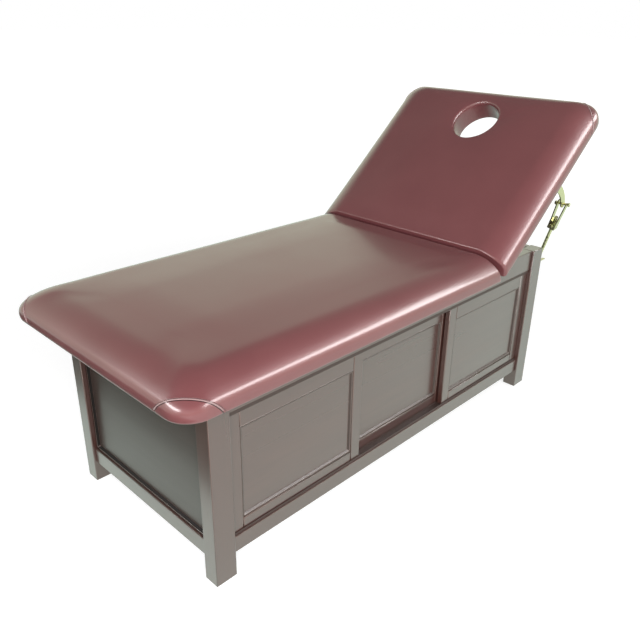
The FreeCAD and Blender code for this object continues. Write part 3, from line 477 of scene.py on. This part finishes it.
def side_stack(length, corner, counts, slack, end_share):
    """Outlines from the roof of the board's pocket, down, round the lip, and up to the top."""
    rows = []
    low, high, half = HINGE_GAP + POCKET_IN, length - POCKET_IN, HALF_WIDE - POCKET_IN
    for height in POCKET_LEVELS:
        flat = rounded_outline(low, high, half, HINGE_CORNER, corner - POCKET_IN, counts)
        rows.append(np.column_stack([flat, np.full(len(flat), height)]))
    for height, inset in ((0.0, TUCK), (LIP_RISE / 3, TUCK / 4), (LIP_RISE, 0.0)):
        room = slack if height else 0.0
        rows.append(level_outline(length, corner, height, inset, counts, room, end_share))
    for turn in EDGE_TURNS:
        inset, height = edge_spot(turn)
        height -= slack * math.sin(turn)
        room = slack * math.cos(turn)
        rows.append(level_outline(length, corner, height, inset, counts, room, end_share))
    return np.array(rows)


def quads(index, flip=False):
    """Four-cornered faces of a grid of vertex numbers, turned over if flip is true."""
    corners = [index[:-1, :-1], index[1:, :-1], index[1:, 1:], index[:-1, 1:]]
    if flip:
        corners.reverse()
    return np.stack(corners, -1).reshape(-1, 4)


def new_piece(name, points, faces):
    """A mesh object at the origin from points in millimetres and faces."""
    mesh = bpy.data.meshes.new(name)
    mesh.from_pydata((points * 0.001).tolist(), [], faces.tolist())
    mesh.validate()
    mesh.polygons.foreach_set("use_smooth", np.ones(len(mesh.polygons), bool))
    piece = bpy.data.objects.new(name, mesh)
    bpy.context.scene.collection.objects.link(piece)
    return piece


print("levels in a side", len(POCKET_LEVELS) + 3 + len(EDGE_TURNS))

# %% [markdown]
# The seat's top and the roof of its pocket are each one patch stretched between the four
# sides of an outline. A patch like that is called a Coons patch: it adds the two blends of
# facing sides and takes away the blend of the four corners. A few rings lie between the side
# and the top's patch. Their corners are rounder than the side's, so the rows stay evenly wide.

# %% Seat skin
TOP_RINGS = ((12, 20, 46), (26, 30, 50), (42, 40, 54), (60, 50, 58))


def stretched_patch(ring, counts):
    """A grid between an outline's four sides, which meet in the middles of its corners."""
    bend, long, wide = counts
    across, along = 2 * bend + wide, 2 * bend + long
    closed = np.concatenate([ring, ring[:1]])
    front = closed[: along + 1]
    end = closed[along : along + across + 1]
    rear = closed[along + across : 2 * along + across + 1][::-1]
    start = closed[2 * along + across :][::-1]
    u = np.linspace(0, 1, along + 1)[:, None, None]
    v = np.linspace(0, 1, across + 1)[None, :, None]
    sides = (1 - v) * front[:, None] + v * rear[:, None] + (1 - u) * start[None] + u * end[None]
    low_blend = (1 - u) * front[0] + u * front[-1]
    high_blend = (1 - u) * rear[0] + u * rear[-1]
    return sides - ((1 - v) * low_blend + v * high_blend)


def patch_index(first, counts, fresh):
    """Vertex numbers of a patch: its rim is a ring that exists already, its inside is new."""
    bend, long, wide = counts
    across, along = 2 * bend + wide, 2 * bend + long
    total = 2 * (across + along)
    index = np.zeros((along + 1, across + 1), int)
    inside = (along - 1, across - 1)
    index[1:-1, 1:-1] = fresh + np.arange(inside[0] * inside[1]).reshape(inside)
    index[:, 0] = first + np.arange(along + 1)
    index[-1, :] = first + along + np.arange(across + 1)
    index[::-1, -1] = first + along + across + np.arange(along + 1)
    index[0, ::-1] = first + (2 * along + across + np.arange(across + 1)) % total
    return index


def seat_skin(length, corner, counts, slack):
    """Points and faces of the seat cushion: side stack, crowned top and the pocket's roof."""

    def top(flat):
        return crown_height(flat[..., 0], flat[..., 1], length, 1.0) - slack

    stack = list(side_stack(length, corner, counts, slack, 1.0))
    for inset, near, far in TOP_RINGS:
        low, high = HINGE_GAP + hinge_inset(SHOULDER) + inset, length - EDGE_REACH - inset
        flat = rounded_outline(low, high, HALF_WIDE - EDGE_REACH - inset, near, far, counts)
        stack.append(np.column_stack([flat, top(flat)]))
    stack = np.array(stack)
    levels, around = stack.shape[:2]
    index = np.arange(levels * around).reshape(levels, around)
    index = np.concatenate([index, index[:, :1]], 1)
    points, faces = [stack.reshape(-1, 3)], [quads(index, flip=True)]
    fresh = levels * around
    for row, roof in ((levels - 1, False), (0, True)):
        patch = stretched_patch(stack[row], counts)
        inner = patch[1:-1, 1:-1]
        if not roof:
            inner[..., 2] = top(inner)
        points.append(inner.reshape(-1, 3))
        faces.append(quads(patch_index(row * around, counts, fresh), flip=roof))
        fresh += len(points[-1])
    return np.concatenate(points), np.concatenate(faces)


SEAT_LENGTH, FOOT_CORNER, SEAT_COUNTS, SLACK = 1211.5, 70.0, (5, 66, 42), 3.0
seat_points, seat_faces = seat_skin(SEAT_LENGTH, FOOT_CORNER, SEAT_COUNTS, SLACK)
print("seat skin", len(seat_points), "points", len(seat_faces), "faces")

# %% [markdown]
# The backrest has a hole, so its skin has no patch. It is one closed belt instead: it comes up
# the lining of the face hole, rolls over the rim, spreads out over the top to the edge, goes
# down the side, round the lip and back under to the lining. The hole's points look outwards
# at the same angles as the outline's, so the belt never twists.

# %% Backrest skin
BACK_LENGTH, HEAD_CORNER, BACK_COUNTS = 714.0, 70.0, (5, 40, 42)
HOLE_FROM_HEAD, HOLE_LONG, HOLE_WIDE = 166.0, 84.0, 80.0
HOLE_FLARE, HOLE_FLARE_DEEP, LINER = 10.0, 14.0, 3.7
HEAD_SHARE, LINING_TOP = 0.6, 61.0
HOLE_MIDDLE = BACK_LENGTH - HOLE_FROM_HEAD
LEAF_ROOM, LEAF_REACH = 3.2, 30.0


def hole_outline(angle, grow, height):
    """The face hole's ellipse, seen at the given angles from its middle, grown by one amount."""
    long, wide = HOLE_LONG + grow, HOLE_WIDE + grow
    radius = long * wide / np.hypot(wide * np.cos(angle), long * np.sin(angle))
    flat = [HOLE_MIDDLE + radius * np.cos(angle), radius * np.sin(angle)]
    return np.column_stack(flat + [np.full(len(angle), height)])


def back_skin(counts, slack):
    """Points and faces of the backrest cushion as one belt, closed both ways."""

    def top(flat):
        return crown_height(flat[:, 0], flat[:, 1], BACK_LENGTH, HEAD_SHARE) - slack

    side = side_stack(BACK_LENGTH, HEAD_CORNER, counts, slack, HEAD_SHARE)
    shoulder = side[-1]
    angle = np.arctan2(shoulder[:, 1], shoulder[:, 0] - HOLE_MIDDLE)
    rows = [hole_outline(angle, LINER, height) for height in POCKET_LEVELS]
    rows += [hole_outline(angle, 0.0, height) for height in np.linspace(0.0, LINING_TOP, 7)]
    for turn in np.radians(np.linspace(12, 90, 7)):
        row = hole_outline(angle, HOLE_FLARE * (1 - math.cos(turn)), 0.0)
        row[:, 2] = top(row) - HOLE_FLARE_DEEP * (1 - math.sin(turn))
        rows.append(row)
    rim = rows[-1]
    for share in np.linspace(0, 1, 27)[1:-1] ** 1.25:
        row = (1 - share) * rim + share * shoulder
        row[:, 2] = top(row)
        rows.append(row)
    rows += list(side[::-1])
    roof, lining = side[0], rows[0]
    rows += [(1 - share) * roof + share * lining for share in np.linspace(0, 1, 16)[1:-1]]
    belt = np.array(rows)
    at_hinge = (belt[:, :, 0] < HINGE_GAP + LEAF_REACH) & (belt[:, :, 2] < LEAF_ROOM)
    belt[:, :, 2] = np.where(at_hinge, LEAF_ROOM, belt[:, :, 2])
    levels, around = belt.shape[:2]
    index = np.arange(levels * around).reshape(levels, around)
    index = np.concatenate([index, index[:1]], 0)
    index = np.concatenate([index, index[:, :1]], 1)
    return belt.reshape(-1, 3), quads(index)


back_points, back_faces = back_skin(BACK_COUNTS, SLACK)
print("backrest skin", len(back_points), "points", len(back_faces), "faces")

# %% [markdown]
# ## Swelling the cushions
#
# Foam pushes its cover out until the cover is tight. A cloth simulation does the same: the
# skin is given some inner pressure and no weight, and what is stapled to the board is pinned.
# Left alone it would blow up like a balloon, so each point may move only a few millimetres.
# How far it moves follows a curve that flattens out, which keeps the surface smooth.

# %% Cloth swelling
FRAMES, PRESSURE, STRETCH_HOLD, BEND_HOLD = 20, 4.0, 40.0, 2.0
MOST_SWELL, EVEN_ROUNDS = 4.2, 24


def read_mesh(rows, field, width, kind=float):
    """One field of a mesh's vertices, edges or normals as an array with width columns."""
    flat = np.zeros(len(rows) * width, kind)
    rows.foreach_get(field, flat)
    return flat.reshape(-1, width)


def spread_evenly(mesh, move, pinned):
    """Evens out the moves: each point takes half of its neighbours' mean move, many times."""
    one, other = read_mesh(mesh.edges, "vertices", 2, np.int64).T
    count = len(move)
    shares = np.bincount(one, minlength=count) + np.bincount(other, minlength=count)
    for _ in range(EVEN_ROUNDS):
        mean = np.empty_like(move)
        for axis in range(3):
            total = np.bincount(one, move[other, axis], count)
            total += np.bincount(other, move[one, axis], count)
            mean[:, axis] = total / shares
        move = np.where(pinned[:, None], 0.0, 0.5 * move + 0.5 * mean)
    return move


def swell(piece, pinned):
    """Runs the cloth, then keeps each point's move m below a limit L with L tanh(m / L)."""
    start = read_mesh(piece.data.vertices, "co", 3)
    held = piece.vertex_groups.new(name="stapled")
    held.add(np.flatnonzero(pinned).tolist(), 1.0, "REPLACE")
    cloth = piece.modifiers.new("stuffing", "CLOTH")
    cloth.settings.vertex_group_mass = "stapled"
    cloth.settings.use_pressure = True
    cloth.settings.uniform_pressure_force = PRESSURE
    cloth.settings.effector_weights.gravity = 0.0
    cloth.settings.tension_stiffness = STRETCH_HOLD
    cloth.settings.compression_stiffness = STRETCH_HOLD
    cloth.settings.bending_stiffness = BEND_HOLD
    cloth.point_cache.frame_end = FRAMES
    for number in range(1, FRAMES + 1):
        bpy.context.scene.frame_set(number)
    evaluated = piece.evaluated_get(bpy.context.evaluated_depsgraph_get())
    move = read_mesh(evaluated.data.vertices, "co", 3) - start
    far = np.linalg.norm(move, axis=1, keepdims=True) + 1e-9
    limit = MOST_SWELL / 1000
    piece.modifiers.remove(cloth)
    bpy.context.scene.frame_set(1)
    move = spread_evenly(piece.data, move * np.tanh(far / limit) * limit / far, pinned)
    piece.data.vertices.foreach_set("co", (start + move).ravel())
    piece.data.update()
    return float(far.max() * 1000)


def smooth_once(piece):
    """Applies one round of subdivision, so that the skin is fine and rounded."""
    fine = piece.modifiers.new("finer", "SUBSURF")
    fine.levels = fine.render_levels = 1
    evaluated = piece.evaluated_get(bpy.context.evaluated_depsgraph_get())
    mesh = bpy.data.meshes.new_from_object(evaluated)
    piece.modifiers.remove(fine)
    old = piece.data
    piece.data = mesh
    bpy.data.meshes.remove(old)
    mesh.name = piece.name


print("pressure", PRESSURE, "gravity 0, frames 1 to", FRAMES)

# %% [markdown]
# ## Corner seams
#
# At each outer corner the cover is cut across and sewn. The seam lies in a slanted plane that
# cuts the corner off, so it climbs one side, bows over the rounded edge and goes down the other
# side. Beside it runs a line of topstitching. The value stored at a vertex is its distance from
# that plane, with plus towards the middle of the cushion.

# %% Seam distance
SEAM_REACH, SEAM_LEAN = 113.6, 0.73


def seam_distance(points, length):
    """Distance from the plane run + across + lean * height = reach, in millimetres."""
    run = length - points[:, 0]
    across = HALF_WIDE - np.abs(points[:, 1])
    return (run + across + SEAM_LEAN * points[:, 2] - SEAM_REACH) / math.sqrt(2 + SEAM_LEAN**2)


# %% [markdown]
# The seam itself stands a little proud, as a welt, and the topstitching beside it is thread.
# Both have to lie on the swollen skin, so their paths are found there: every edge of the mesh
# whose ends lie on two sides of the line is cut where the stored distance has the wanted
# value, and the cuts are put in order round the corner. The welt is a thin tube along that
# path and each stitch is a short rounded tube that follows it.

# %% Paths on the skin
WELT_OFF, WELT_RADIUS, WELT_STEP, WELT_SIDES = 1.8, 1.6, 3.0, 8
STITCH_OFF, STITCH_PITCH, STITCH_LONG, STITCH_SIDES = 5.0, 6.0, 4.4, 6
STITCH_RADII = np.array([0.01, 0.42, 0.55, 0.42, 0.01])
STITCH_LIFT = np.array([-0.5, 0.1, 0.35, 0.1, -0.5])[:, None]
CLEAR_HEIGHT, LIP_HEIGHT, LIP_REACH = 24.0, 6.0, 9.0


def sewn_paths(mesh, local, distance, length, level):
    """For each corner, points and normals where the distance from the seam equals level."""
    one, other = read_mesh(mesh.edges, "vertices", 2, np.int64).T
    normals = read_mesh(mesh.vertex_normals, "vector", 3)
    a, b = distance[one] - level, distance[other] - level
    crossing = np.flatnonzero(a * b < 0)
    share = (a[crossing] / (a[crossing] - b[crossing]))[:, None]
    spots = local[one[crossing]] * (1 - share) + local[other[crossing]] * share
    facing = normals[one[crossing]] * (1 - share) + normals[other[crossing]] * share
    run, across = length - spots[:, 0], HALF_WIDE - np.abs(spots[:, 1])
    beside_lip = (np.minimum(run, across) < LIP_REACH) & (spots[:, 2] > LIP_HEIGHT)
    outside = (spots[:, 2] > CLEAR_HEIGHT) | beside_lip
    paths = []
    for side in (-1, 1):
        mine = outside & (np.sign(spots[:, 1]) == side)
        along = (run - across)[mine] / math.sqrt(2)
        order = np.argsort(along + np.sign(along) * (THICK - spots[mine][:, 2]))
        paths.append((spots[mine][order], facing[mine][order]))
    return paths


def picked(at, steps, rows):
    """Rows of three values, read at places between their steps."""
    return np.column_stack([np.interp(at, steps, rows[:, axis]) for axis in range(3)])


def calmed(rows):
    """Each row becomes (before + 2 own + after) / 4, three times, and the ends stay."""
    for _ in range(3):
        inner = (rows[:-2] + 2 * rows[1:-1] + rows[2:]) / 4
        rows = np.concatenate([rows[:1], inner, rows[-1:]])
    return rows


def evened(path, spacing):
    """A path's calmed points and normals at even spacing, and its length."""
    spots, facing = calmed(path[0]), calmed(path[1])
    steps = np.concatenate([[0], np.cumsum(np.linalg.norm(np.diff(spots, axis=0), axis=1))])
    at = np.linspace(0, steps[-1], max(int(steps[-1] / spacing), 8))
    spots, facing = picked(at, steps, spots), picked(at, steps, facing)
    return spots, facing / np.linalg.norm(facing, axis=1, keepdims=True), steps[-1]


def tube_rings(spots, facing, radius, sides):
    """Rings of points round a path: each lies across the path, with one radius per ring."""
    ahead = np.gradient(spots, axis=0)
    ahead /= np.linalg.norm(ahead, axis=1, keepdims=True) + 1e-9
    beside = np.cross(ahead, facing)
    turn = np.linspace(0, 2 * math.pi, sides, endpoint=False)[:, None]
    spokes = np.cos(turn) * facing[:, None] + np.sin(turn) * beside[:, None]
    return spots[:, None] + radius[:, None, None] * spokes


def tube_faces(rings, sides, first):
    """Faces of a tube whose first and last rings have shrunk to a point's size."""
    index = first + np.arange(rings * sides).reshape(rings, sides)
    return quads(np.concatenate([index, index[:, :1]], 1), flip=True)


def welts_and_stitches(name, mesh, local, distance, length, place, body):
    """The raised welt of both corner seams and the row of stitches beside each."""
    points, faces, count = [], [], 0
    for path in sewn_paths(mesh, local, distance, length, WELT_OFF):
        spots, facing, _ = evened(path, WELT_STEP)
        radius = np.full(len(spots), WELT_RADIUS)
        radius[[0, -1]] = 0.01
        rings = tube_rings(spots + 0.15 * facing, facing, radius, WELT_SIDES)
        points.append(rings.reshape(-1, 3))
        faces.append(tube_faces(len(spots), WELT_SIDES, count))
        count += len(points[-1])
    welt_count = count
    for path in sewn_paths(mesh, local, distance, length, STITCH_OFF):
        spots, facing, long = evened(path, WELT_STEP / 2)
        steps = np.linspace(0, long, len(spots))
        for middle in np.arange(STITCH_PITCH, long - STITCH_PITCH, STITCH_PITCH):
            at = middle + 0.5 * STITCH_LONG * np.linspace(-1, 1, len(STITCH_RADII))
            own, up = picked(at, steps, spots), picked(at, steps, facing)
            rings = tube_rings(own + STITCH_LIFT * up, up, STITCH_RADII, STITCH_SIDES)
            points.append(rings.reshape(-1, 3))
            faces.append(tube_faces(len(STITCH_RADII), STITCH_SIDES, count))
            count += len(points[-1])
    piece = new_piece(name, np.concatenate(points), np.concatenate(faces))
    piece.data.vertices.foreach_set("co", place(read_mesh(piece.data.vertices, "co", 3)).ravel())
    piece.data.update()
    piece.data.materials.append(welt)
    piece.data.materials.append(thread)
    of_thread = np.concatenate([np.full(len(part), part.min() >= welt_count) for part in faces])
    piece.data.polygons.foreach_set("material_index", of_thread.astype(np.int32))
    seam = piece.data.attributes.new("seam", "FLOAT", "POINT")
    seam.data.foreach_set("value", np.full(count, 40.0, np.float32))
    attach(piece, body)
    print(name, len(piece.data.polygons), "faces")


print("stitches", STITCH_LONG, "mm long, every", STITCH_PITCH, "mm")

# %% [markdown]
# One function takes a skin through all its steps: swell it, smooth it, store its seams, set it
# in its place, and lay its welts and stitches on it.

# %% Finish a cushion
def finish_cushion(name, points, faces, length, pinned, place, body):
    """Makes the skin, swells it, smooths it, stores its seams and sets it in its place."""
    piece = new_piece(name, points, faces)
    moved = 0.0
    moved = swell(piece, pinned)
    smooth_once(piece)
    local = read_mesh(piece.data.vertices, "co", 3) * 1000
    distance = seam_distance(local, length)
    seam = piece.data.attributes.new("seam", "FLOAT", "POINT")
    seam.data.foreach_set("value", distance.astype(np.float32))
    seam_name = name.replace("_padded", "_seams")
    welts_and_stitches(seam_name, piece.data, local, distance, length, place, body)
    piece.data.vertices.foreach_set("co", place(local / 1000).ravel())
    piece.data.update()
    piece.data.materials.append(leatherette)
    cad_node = name.replace("_padded", "")
    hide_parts(cad_node)
    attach(piece, body)
    print(name, "swelled", round(moved, 1), "mm before the limit")


print("seam reach", SEAM_REACH, "lean", SEAM_LEAN)

# %% [markdown]
# The seat's drawing is turned half round and laid on the top board. The backrest's is tipped
# up forty degrees about the hinge line, the angle at which it rests.

# %% Make both cushions
HINGE_X, HINGE_Z, SEAT_Z, BACK_ANGLE = 0.334346, 0.5493, 0.549, math.radians(40)


def place_seat(local):
    """Half a turn about the upright axis, then along to the hinge line."""
    return np.column_stack([HINGE_X - local[:, 0], -local[:, 1], SEAT_Z + local[:, 2]])


def place_back(local):
    """A turn up about the hinge line."""
    c, s = math.cos(BACK_ANGLE), math.sin(BACK_ANGLE)
    x, y, z = local.T
    return np.column_stack([HINGE_X + c * x - s * z, y, HINGE_Z + s * x + c * z])


def stapled_points(points):
    """Everything below the lip, and the pocket, is held by the board."""
    deep = (points[:, 0] > HINGE_GAP + 12) & (np.abs(points[:, 1]) < HALF_WIDE - 12)
    return (points[:, 2] < 8.0) | (deep & (points[:, 2] < POCKET_TALL + 1))


def inside_hole(points):
    """Points of the face hole's lining, which is glued to the foam."""
    along = (points[:, 0] - HOLE_MIDDLE) / (HOLE_LONG + 6)
    across = points[:, 1] / (HOLE_WIDE + 6)
    return (np.hypot(along, across) < 1) & (points[:, 2] < LINING_TOP - 1)


finish_cushion(
    "seat_cushion_padded", seat_points, seat_faces, SEAT_LENGTH,
    stapled_points(seat_points), place_seat, "cabinet",
)
finish_cushion(
    "backrest_cushion_padded", back_points, back_faces, BACK_LENGTH,
    stapled_points(back_points) | inside_hole(back_points), place_back, "backrest",
)

# %% [markdown]
# ## Lacquered boards with eased arrises
#
# A joiner breaks every sharp arris with sandpaper before lacquering, and those thin rounded
# edges catch the light. The measured pieces have sharp edges, so each wooden one is copied,
# its loose triangles are joined, flat faces are merged, and a bevel modifier eases the edges.
# The bevel's own faces get the lighter arris finish, a painted highlight.

# %% Ease the edges of a measured piece
EASE_WIDE, EASE_FINE, EASE_METAL, EASE_GLIDE = 0.0015, 0.0008, 0.0004, 0.0012
WELD, FLAT_WITHIN, SHARP_FROM = 1e-6, math.radians(0.5), math.radians(40)


def eased_copy(name, width, finishes, segments=2):
    """A joined copy of a measured piece with rounded edges, standing for that piece."""
    source = nodes[name]
    shape = bmesh.new()
    shape.from_mesh(source.data)
    bmesh.ops.remove_doubles(shape, verts=shape.verts, dist=WELD)
    bmesh.ops.dissolve_limit(shape, angle_limit=FLAT_WITHIN, verts=shape.verts, edges=shape.edges)
    mesh = bpy.data.meshes.new(name + "_eased")
    shape.to_mesh(mesh)
    shape.free()
    for layer in list(mesh.attributes):
        if layer.name == "custom_normal":
            mesh.attributes.remove(layer)
    for finish in finishes:
        mesh.materials.append(finish)
    mesh.polygons.foreach_set("material_index", np.zeros(len(mesh.polygons), np.int32))
    mesh.polygons.foreach_set("use_smooth", np.ones(len(mesh.polygons), bool))
    piece = bpy.data.objects.new(name + "_eased", mesh)
    bpy.context.scene.collection.objects.link(piece)
    ease = piece.modifiers.new("eased edges", "BEVEL")
    ease.width = width
    ease.segments = segments
    ease.limit_method = "ANGLE"
    ease.angle_limit = SHARP_FROM
    ease.use_clamp_overlap = True
    ease.harden_normals = True
    # The bevel's own faces take the second finish; on wood it is the arris finish with its painted
    # highlight.
    if len(finishes) > 1:
        ease.material = 1
    body = source["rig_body"]
    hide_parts(name)
    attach(piece, body)


print("the frame's edges are rounded over", EASE_WIDE * 1000, "mm")

# %% [markdown]
# Each wooden piece is given the way its grain runs. Legs and door stiles stand, the long
# rails, the door rails and their mouldings lie along the bed, and the end rails lie across it.
# A moulding is called a bead in the measured model.

# %% Dress the wooden pieces
STANDING = ["post_foot_near", "post_foot_far", "post_head_near", "post_head_far"]
LYING = ["rail_front_low", "rail_front_high", "rail_back_low", "rail_back_high"]
LYING += ["panel_back", "bead_back"]
for door in ("door_left_", "door_centre_", "door_right_"):
    STANDING.append(door + "stiles")
    LYING += [door + "rails", door + "panel", door + "bead"]
CROSSING = ["rail_foot_low", "rail_foot_high", "rail_head_low", "rail_head_high"]
CROSSING += ["panel_foot", "panel_head", "bead_foot", "bead_head"]
BOARDS = ("cabinet_floor", "deck_board", "seat_board", "backrest_board")

for way, names in (("stand", STANDING), ("long", LYING), ("cross", CROSSING)):
    for name in names:
        width = EASE_FINE if "bead" in name or "panel" in name else EASE_WIDE
        face = wood[way]
        # Beads and the end panels take the darker finishes that carry painted shade.
        if name.startswith("bead"):
            face = moulding[way]
        elif name.endswith("bead"):
            face = door_bead
        elif name in ("panel_foot", "panel_head"):
            face = painted_shade_panel[way]
        eased_copy(name, width, [face, arris[way]])
for name in BOARDS:
    eased_copy(name, EASE_FINE, [board])
print("wooden pieces", len(STANDING + LYING + CROSSING) + len(BOARDS))

# %% [markdown]
# ## Hardware
#
# The hinges, brackets, forks, rods and screws are small turned, pressed and plated parts. They
# keep the measured shape with a finer easing of their edges.

# %% Dress the hardware
METAL = [name for name in nodes if name.startswith(("hinge_", "prop_", "clamp_", "keeper_"))]
METAL += ["cabinet_screws", "backrest_screws"]
for name in METAL:
    eased_copy(name, EASE_METAL, [zinc], 1)
for name in ("track_low", "track_high"):
    eased_copy(name, EASE_METAL, [track_plastic], 1)
eased_copy("leg_glides", EASE_GLIDE, [glide_plastic])
print("hardware pieces", len(METAL) + 3)

# %% [markdown]
# ## Floor, background and light
#
# The bed stands in plain white studio light. The floor is pale and keeps the bed's shadow,
# and the world is white where the camera or a reflection looks at it. Both seem a little green
# or yellow in reflections, which gives the dark lacquer its olive cast.

# %% Floor
FLOOR_NEAR, FLOOR_FAR = (1.3, 0.74), (4.5, 1.0)
WHITE = (1, 1, 1)


def floor_finish():
    """Pale floor that glows more with distance, where the camera or a reflection sees it."""
    finish, tree, shader = new_finish("studio_floor", Roughness=0.9, Specular_IOR_Level=0.0)
    ray = add_node(tree, "ShaderNodeLightPath", (-700, 0)).outputs
    seen = reckon(tree, "MAXIMUM", ray["Is Camera Ray"], ray["Is Glossy Ray"], (-500, 0))
    far = add_node(tree, "ShaderNodeVectorMath", (-700, -300), operation="LENGTH")
    feed(tree, far, _0=object_spot(tree))
    reach, glow = zip(FLOOR_NEAR, FLOOR_FAR)
    rise = carry(tree, far.outputs["Value"], reach, glow, (-500, -300), "SMOOTHSTEP")
    lift = reckon(tree, "MULTIPLY", seen, rise, (-300, 0))
    tint = blend(tree, ray["Is Glossy Ray"], WHITE, (0.8, 1.0, 0.87), (-300, 300))
    feed(tree, shader, Base_Color=(0.5, 0.5, 0.5), Emission_Strength=lift, Emission_Color=tint)
    return finish


def flat_card(name, low, high, height, finish):
    """A level rectangle that belongs to the studio, not to the bed."""
    mesh = bpy.data.meshes.new(name)
    (a, b), (c, d) = low, high
    corners = [(a, b, height), (c, b, height), (c, d, height), (a, d, height)]
    mesh.from_pydata(corners, [], [(0, 1, 2, 3)])
    mesh.materials.append(finish)
    card = bpy.data.objects.new(name, mesh)
    bpy.context.scene.collection.objects.link(card)
    return card


flat_card("studio_floor", (-40, -40), (40, 40), 0.0, floor_finish())
print("floor ready")

# %% [markdown]
# Past the foot end a grey card lies on the floor, which only reflections see. A photographer
# lays such a card to keep a lacquered panel from going pale, and the foot panel needs it. The
# world lights the bed evenly, and reflections see pale walls under a darker ceiling.

# %% Grey card and world
GREY = {"Base_Color": (0.12, 0.16, 0.135), "Roughness": 0.9, "Specular_IOR_Level": 0.0}
card_finish = new_finish("studio_grey_card", **GREY)[0]
grey_card = flat_card("studio_grey_card", (-3.6, -1.0), (-0.98, 2.6), 0.004, card_finish)
for ray in ("camera", "diffuse", "shadow", "transmission", "volume_scatter"):
    setattr(grey_card, "visible_" + ray, False)

WALL, CEILING, CEILING_FROM = (0.98, 1.04, 0.84), (0.2, 0.2, 0.18), (0.3, 0.72)
PLAIN_LIGHT, SEEN_LIGHT = 0.3, 1.0

world = bpy.data.worlds.new("studio")
bpy.context.scene.world = world
world.use_nodes = True
sky = world.node_tree
ray = add_node(sky, "ShaderNodeLightPath", (-900, 0)).outputs
seen = reckon(sky, "MAXIMUM", ray["Is Camera Ray"], ray["Is Glossy Ray"], (-600, 0))
shown = reckon(sky, "MAXIMUM", seen, ray["Is Transmission Ray"], (-450, 0))
strength = carry(sky, shown, UNIT, (PLAIN_LIGHT, SEEN_LIGHT), (-180, 0))
looking = add_node(sky, "ShaderNodeTexCoord", (-1300, 600))
upright = add_node(sky, "ShaderNodeSeparateXYZ", (-1100, 600))
feed(sky, upright, Vector=looking.outputs["Generated"])
climb = carry(sky, upright.outputs["Z"], CEILING_FROM, UNIT, (-900, 600), "SMOOTHSTEP")
mirrored = blend(sky, climb, WALL, CEILING, (-600, 600))
room = blend(sky, ray["Is Glossy Ray"], WHITE, mirrored, (-180, 300))
feed(sky, sky.nodes["Background"], Color=room, Strength=strength)
print("world ready")

# %% [markdown]
# Two long lamps, one past the door side and one past the foot, give the bright bands on the
# rounded edges and only show in reflections. Two others give the plain light and never do.

# %% Lamps
def soft_lamp(name, place, target, size, power, hidden_from):
    """A rectangular lamp that faces a point and lights everything but one kind of ray."""
    lamp = bpy.data.lights.new(name, "AREA")
    lamp.shape = "RECTANGLE"
    lamp.size, lamp.size_y = size
    lamp.energy = power
    holder = bpy.data.objects.new(name, lamp)
    holder.location = place
    holder.rotation_euler = (Vector(target) - Vector(place)).to_track_quat("-Z", "Y").to_euler()
    setattr(holder, "visible_" + hidden_from, False)
    bpy.context.scene.collection.objects.link(holder)
    return holder


soft_lamp("key_shine", (1.4, -2.3, 2.2), (0.1, -0.1, 0.6), (3.2, 0.9), 125, "diffuse")
soft_lamp("foot_shine", (-3.2, 0.6, 2.2), (0.0, 0.0, 0.5), (3.2, 0.6), 140, "diffuse")
soft_lamp("door_light", (0.6, -3.4, 1.0), (0.0, 0.0, 0.4), (2.0, 1.5), 25, "glossy")
soft_lamp("room_light", (-2.6, -2.8, 2.2), (0.0, 0.0, 0.5), (2.0, 2.0), 160, "glossy")
print("lamps ready")
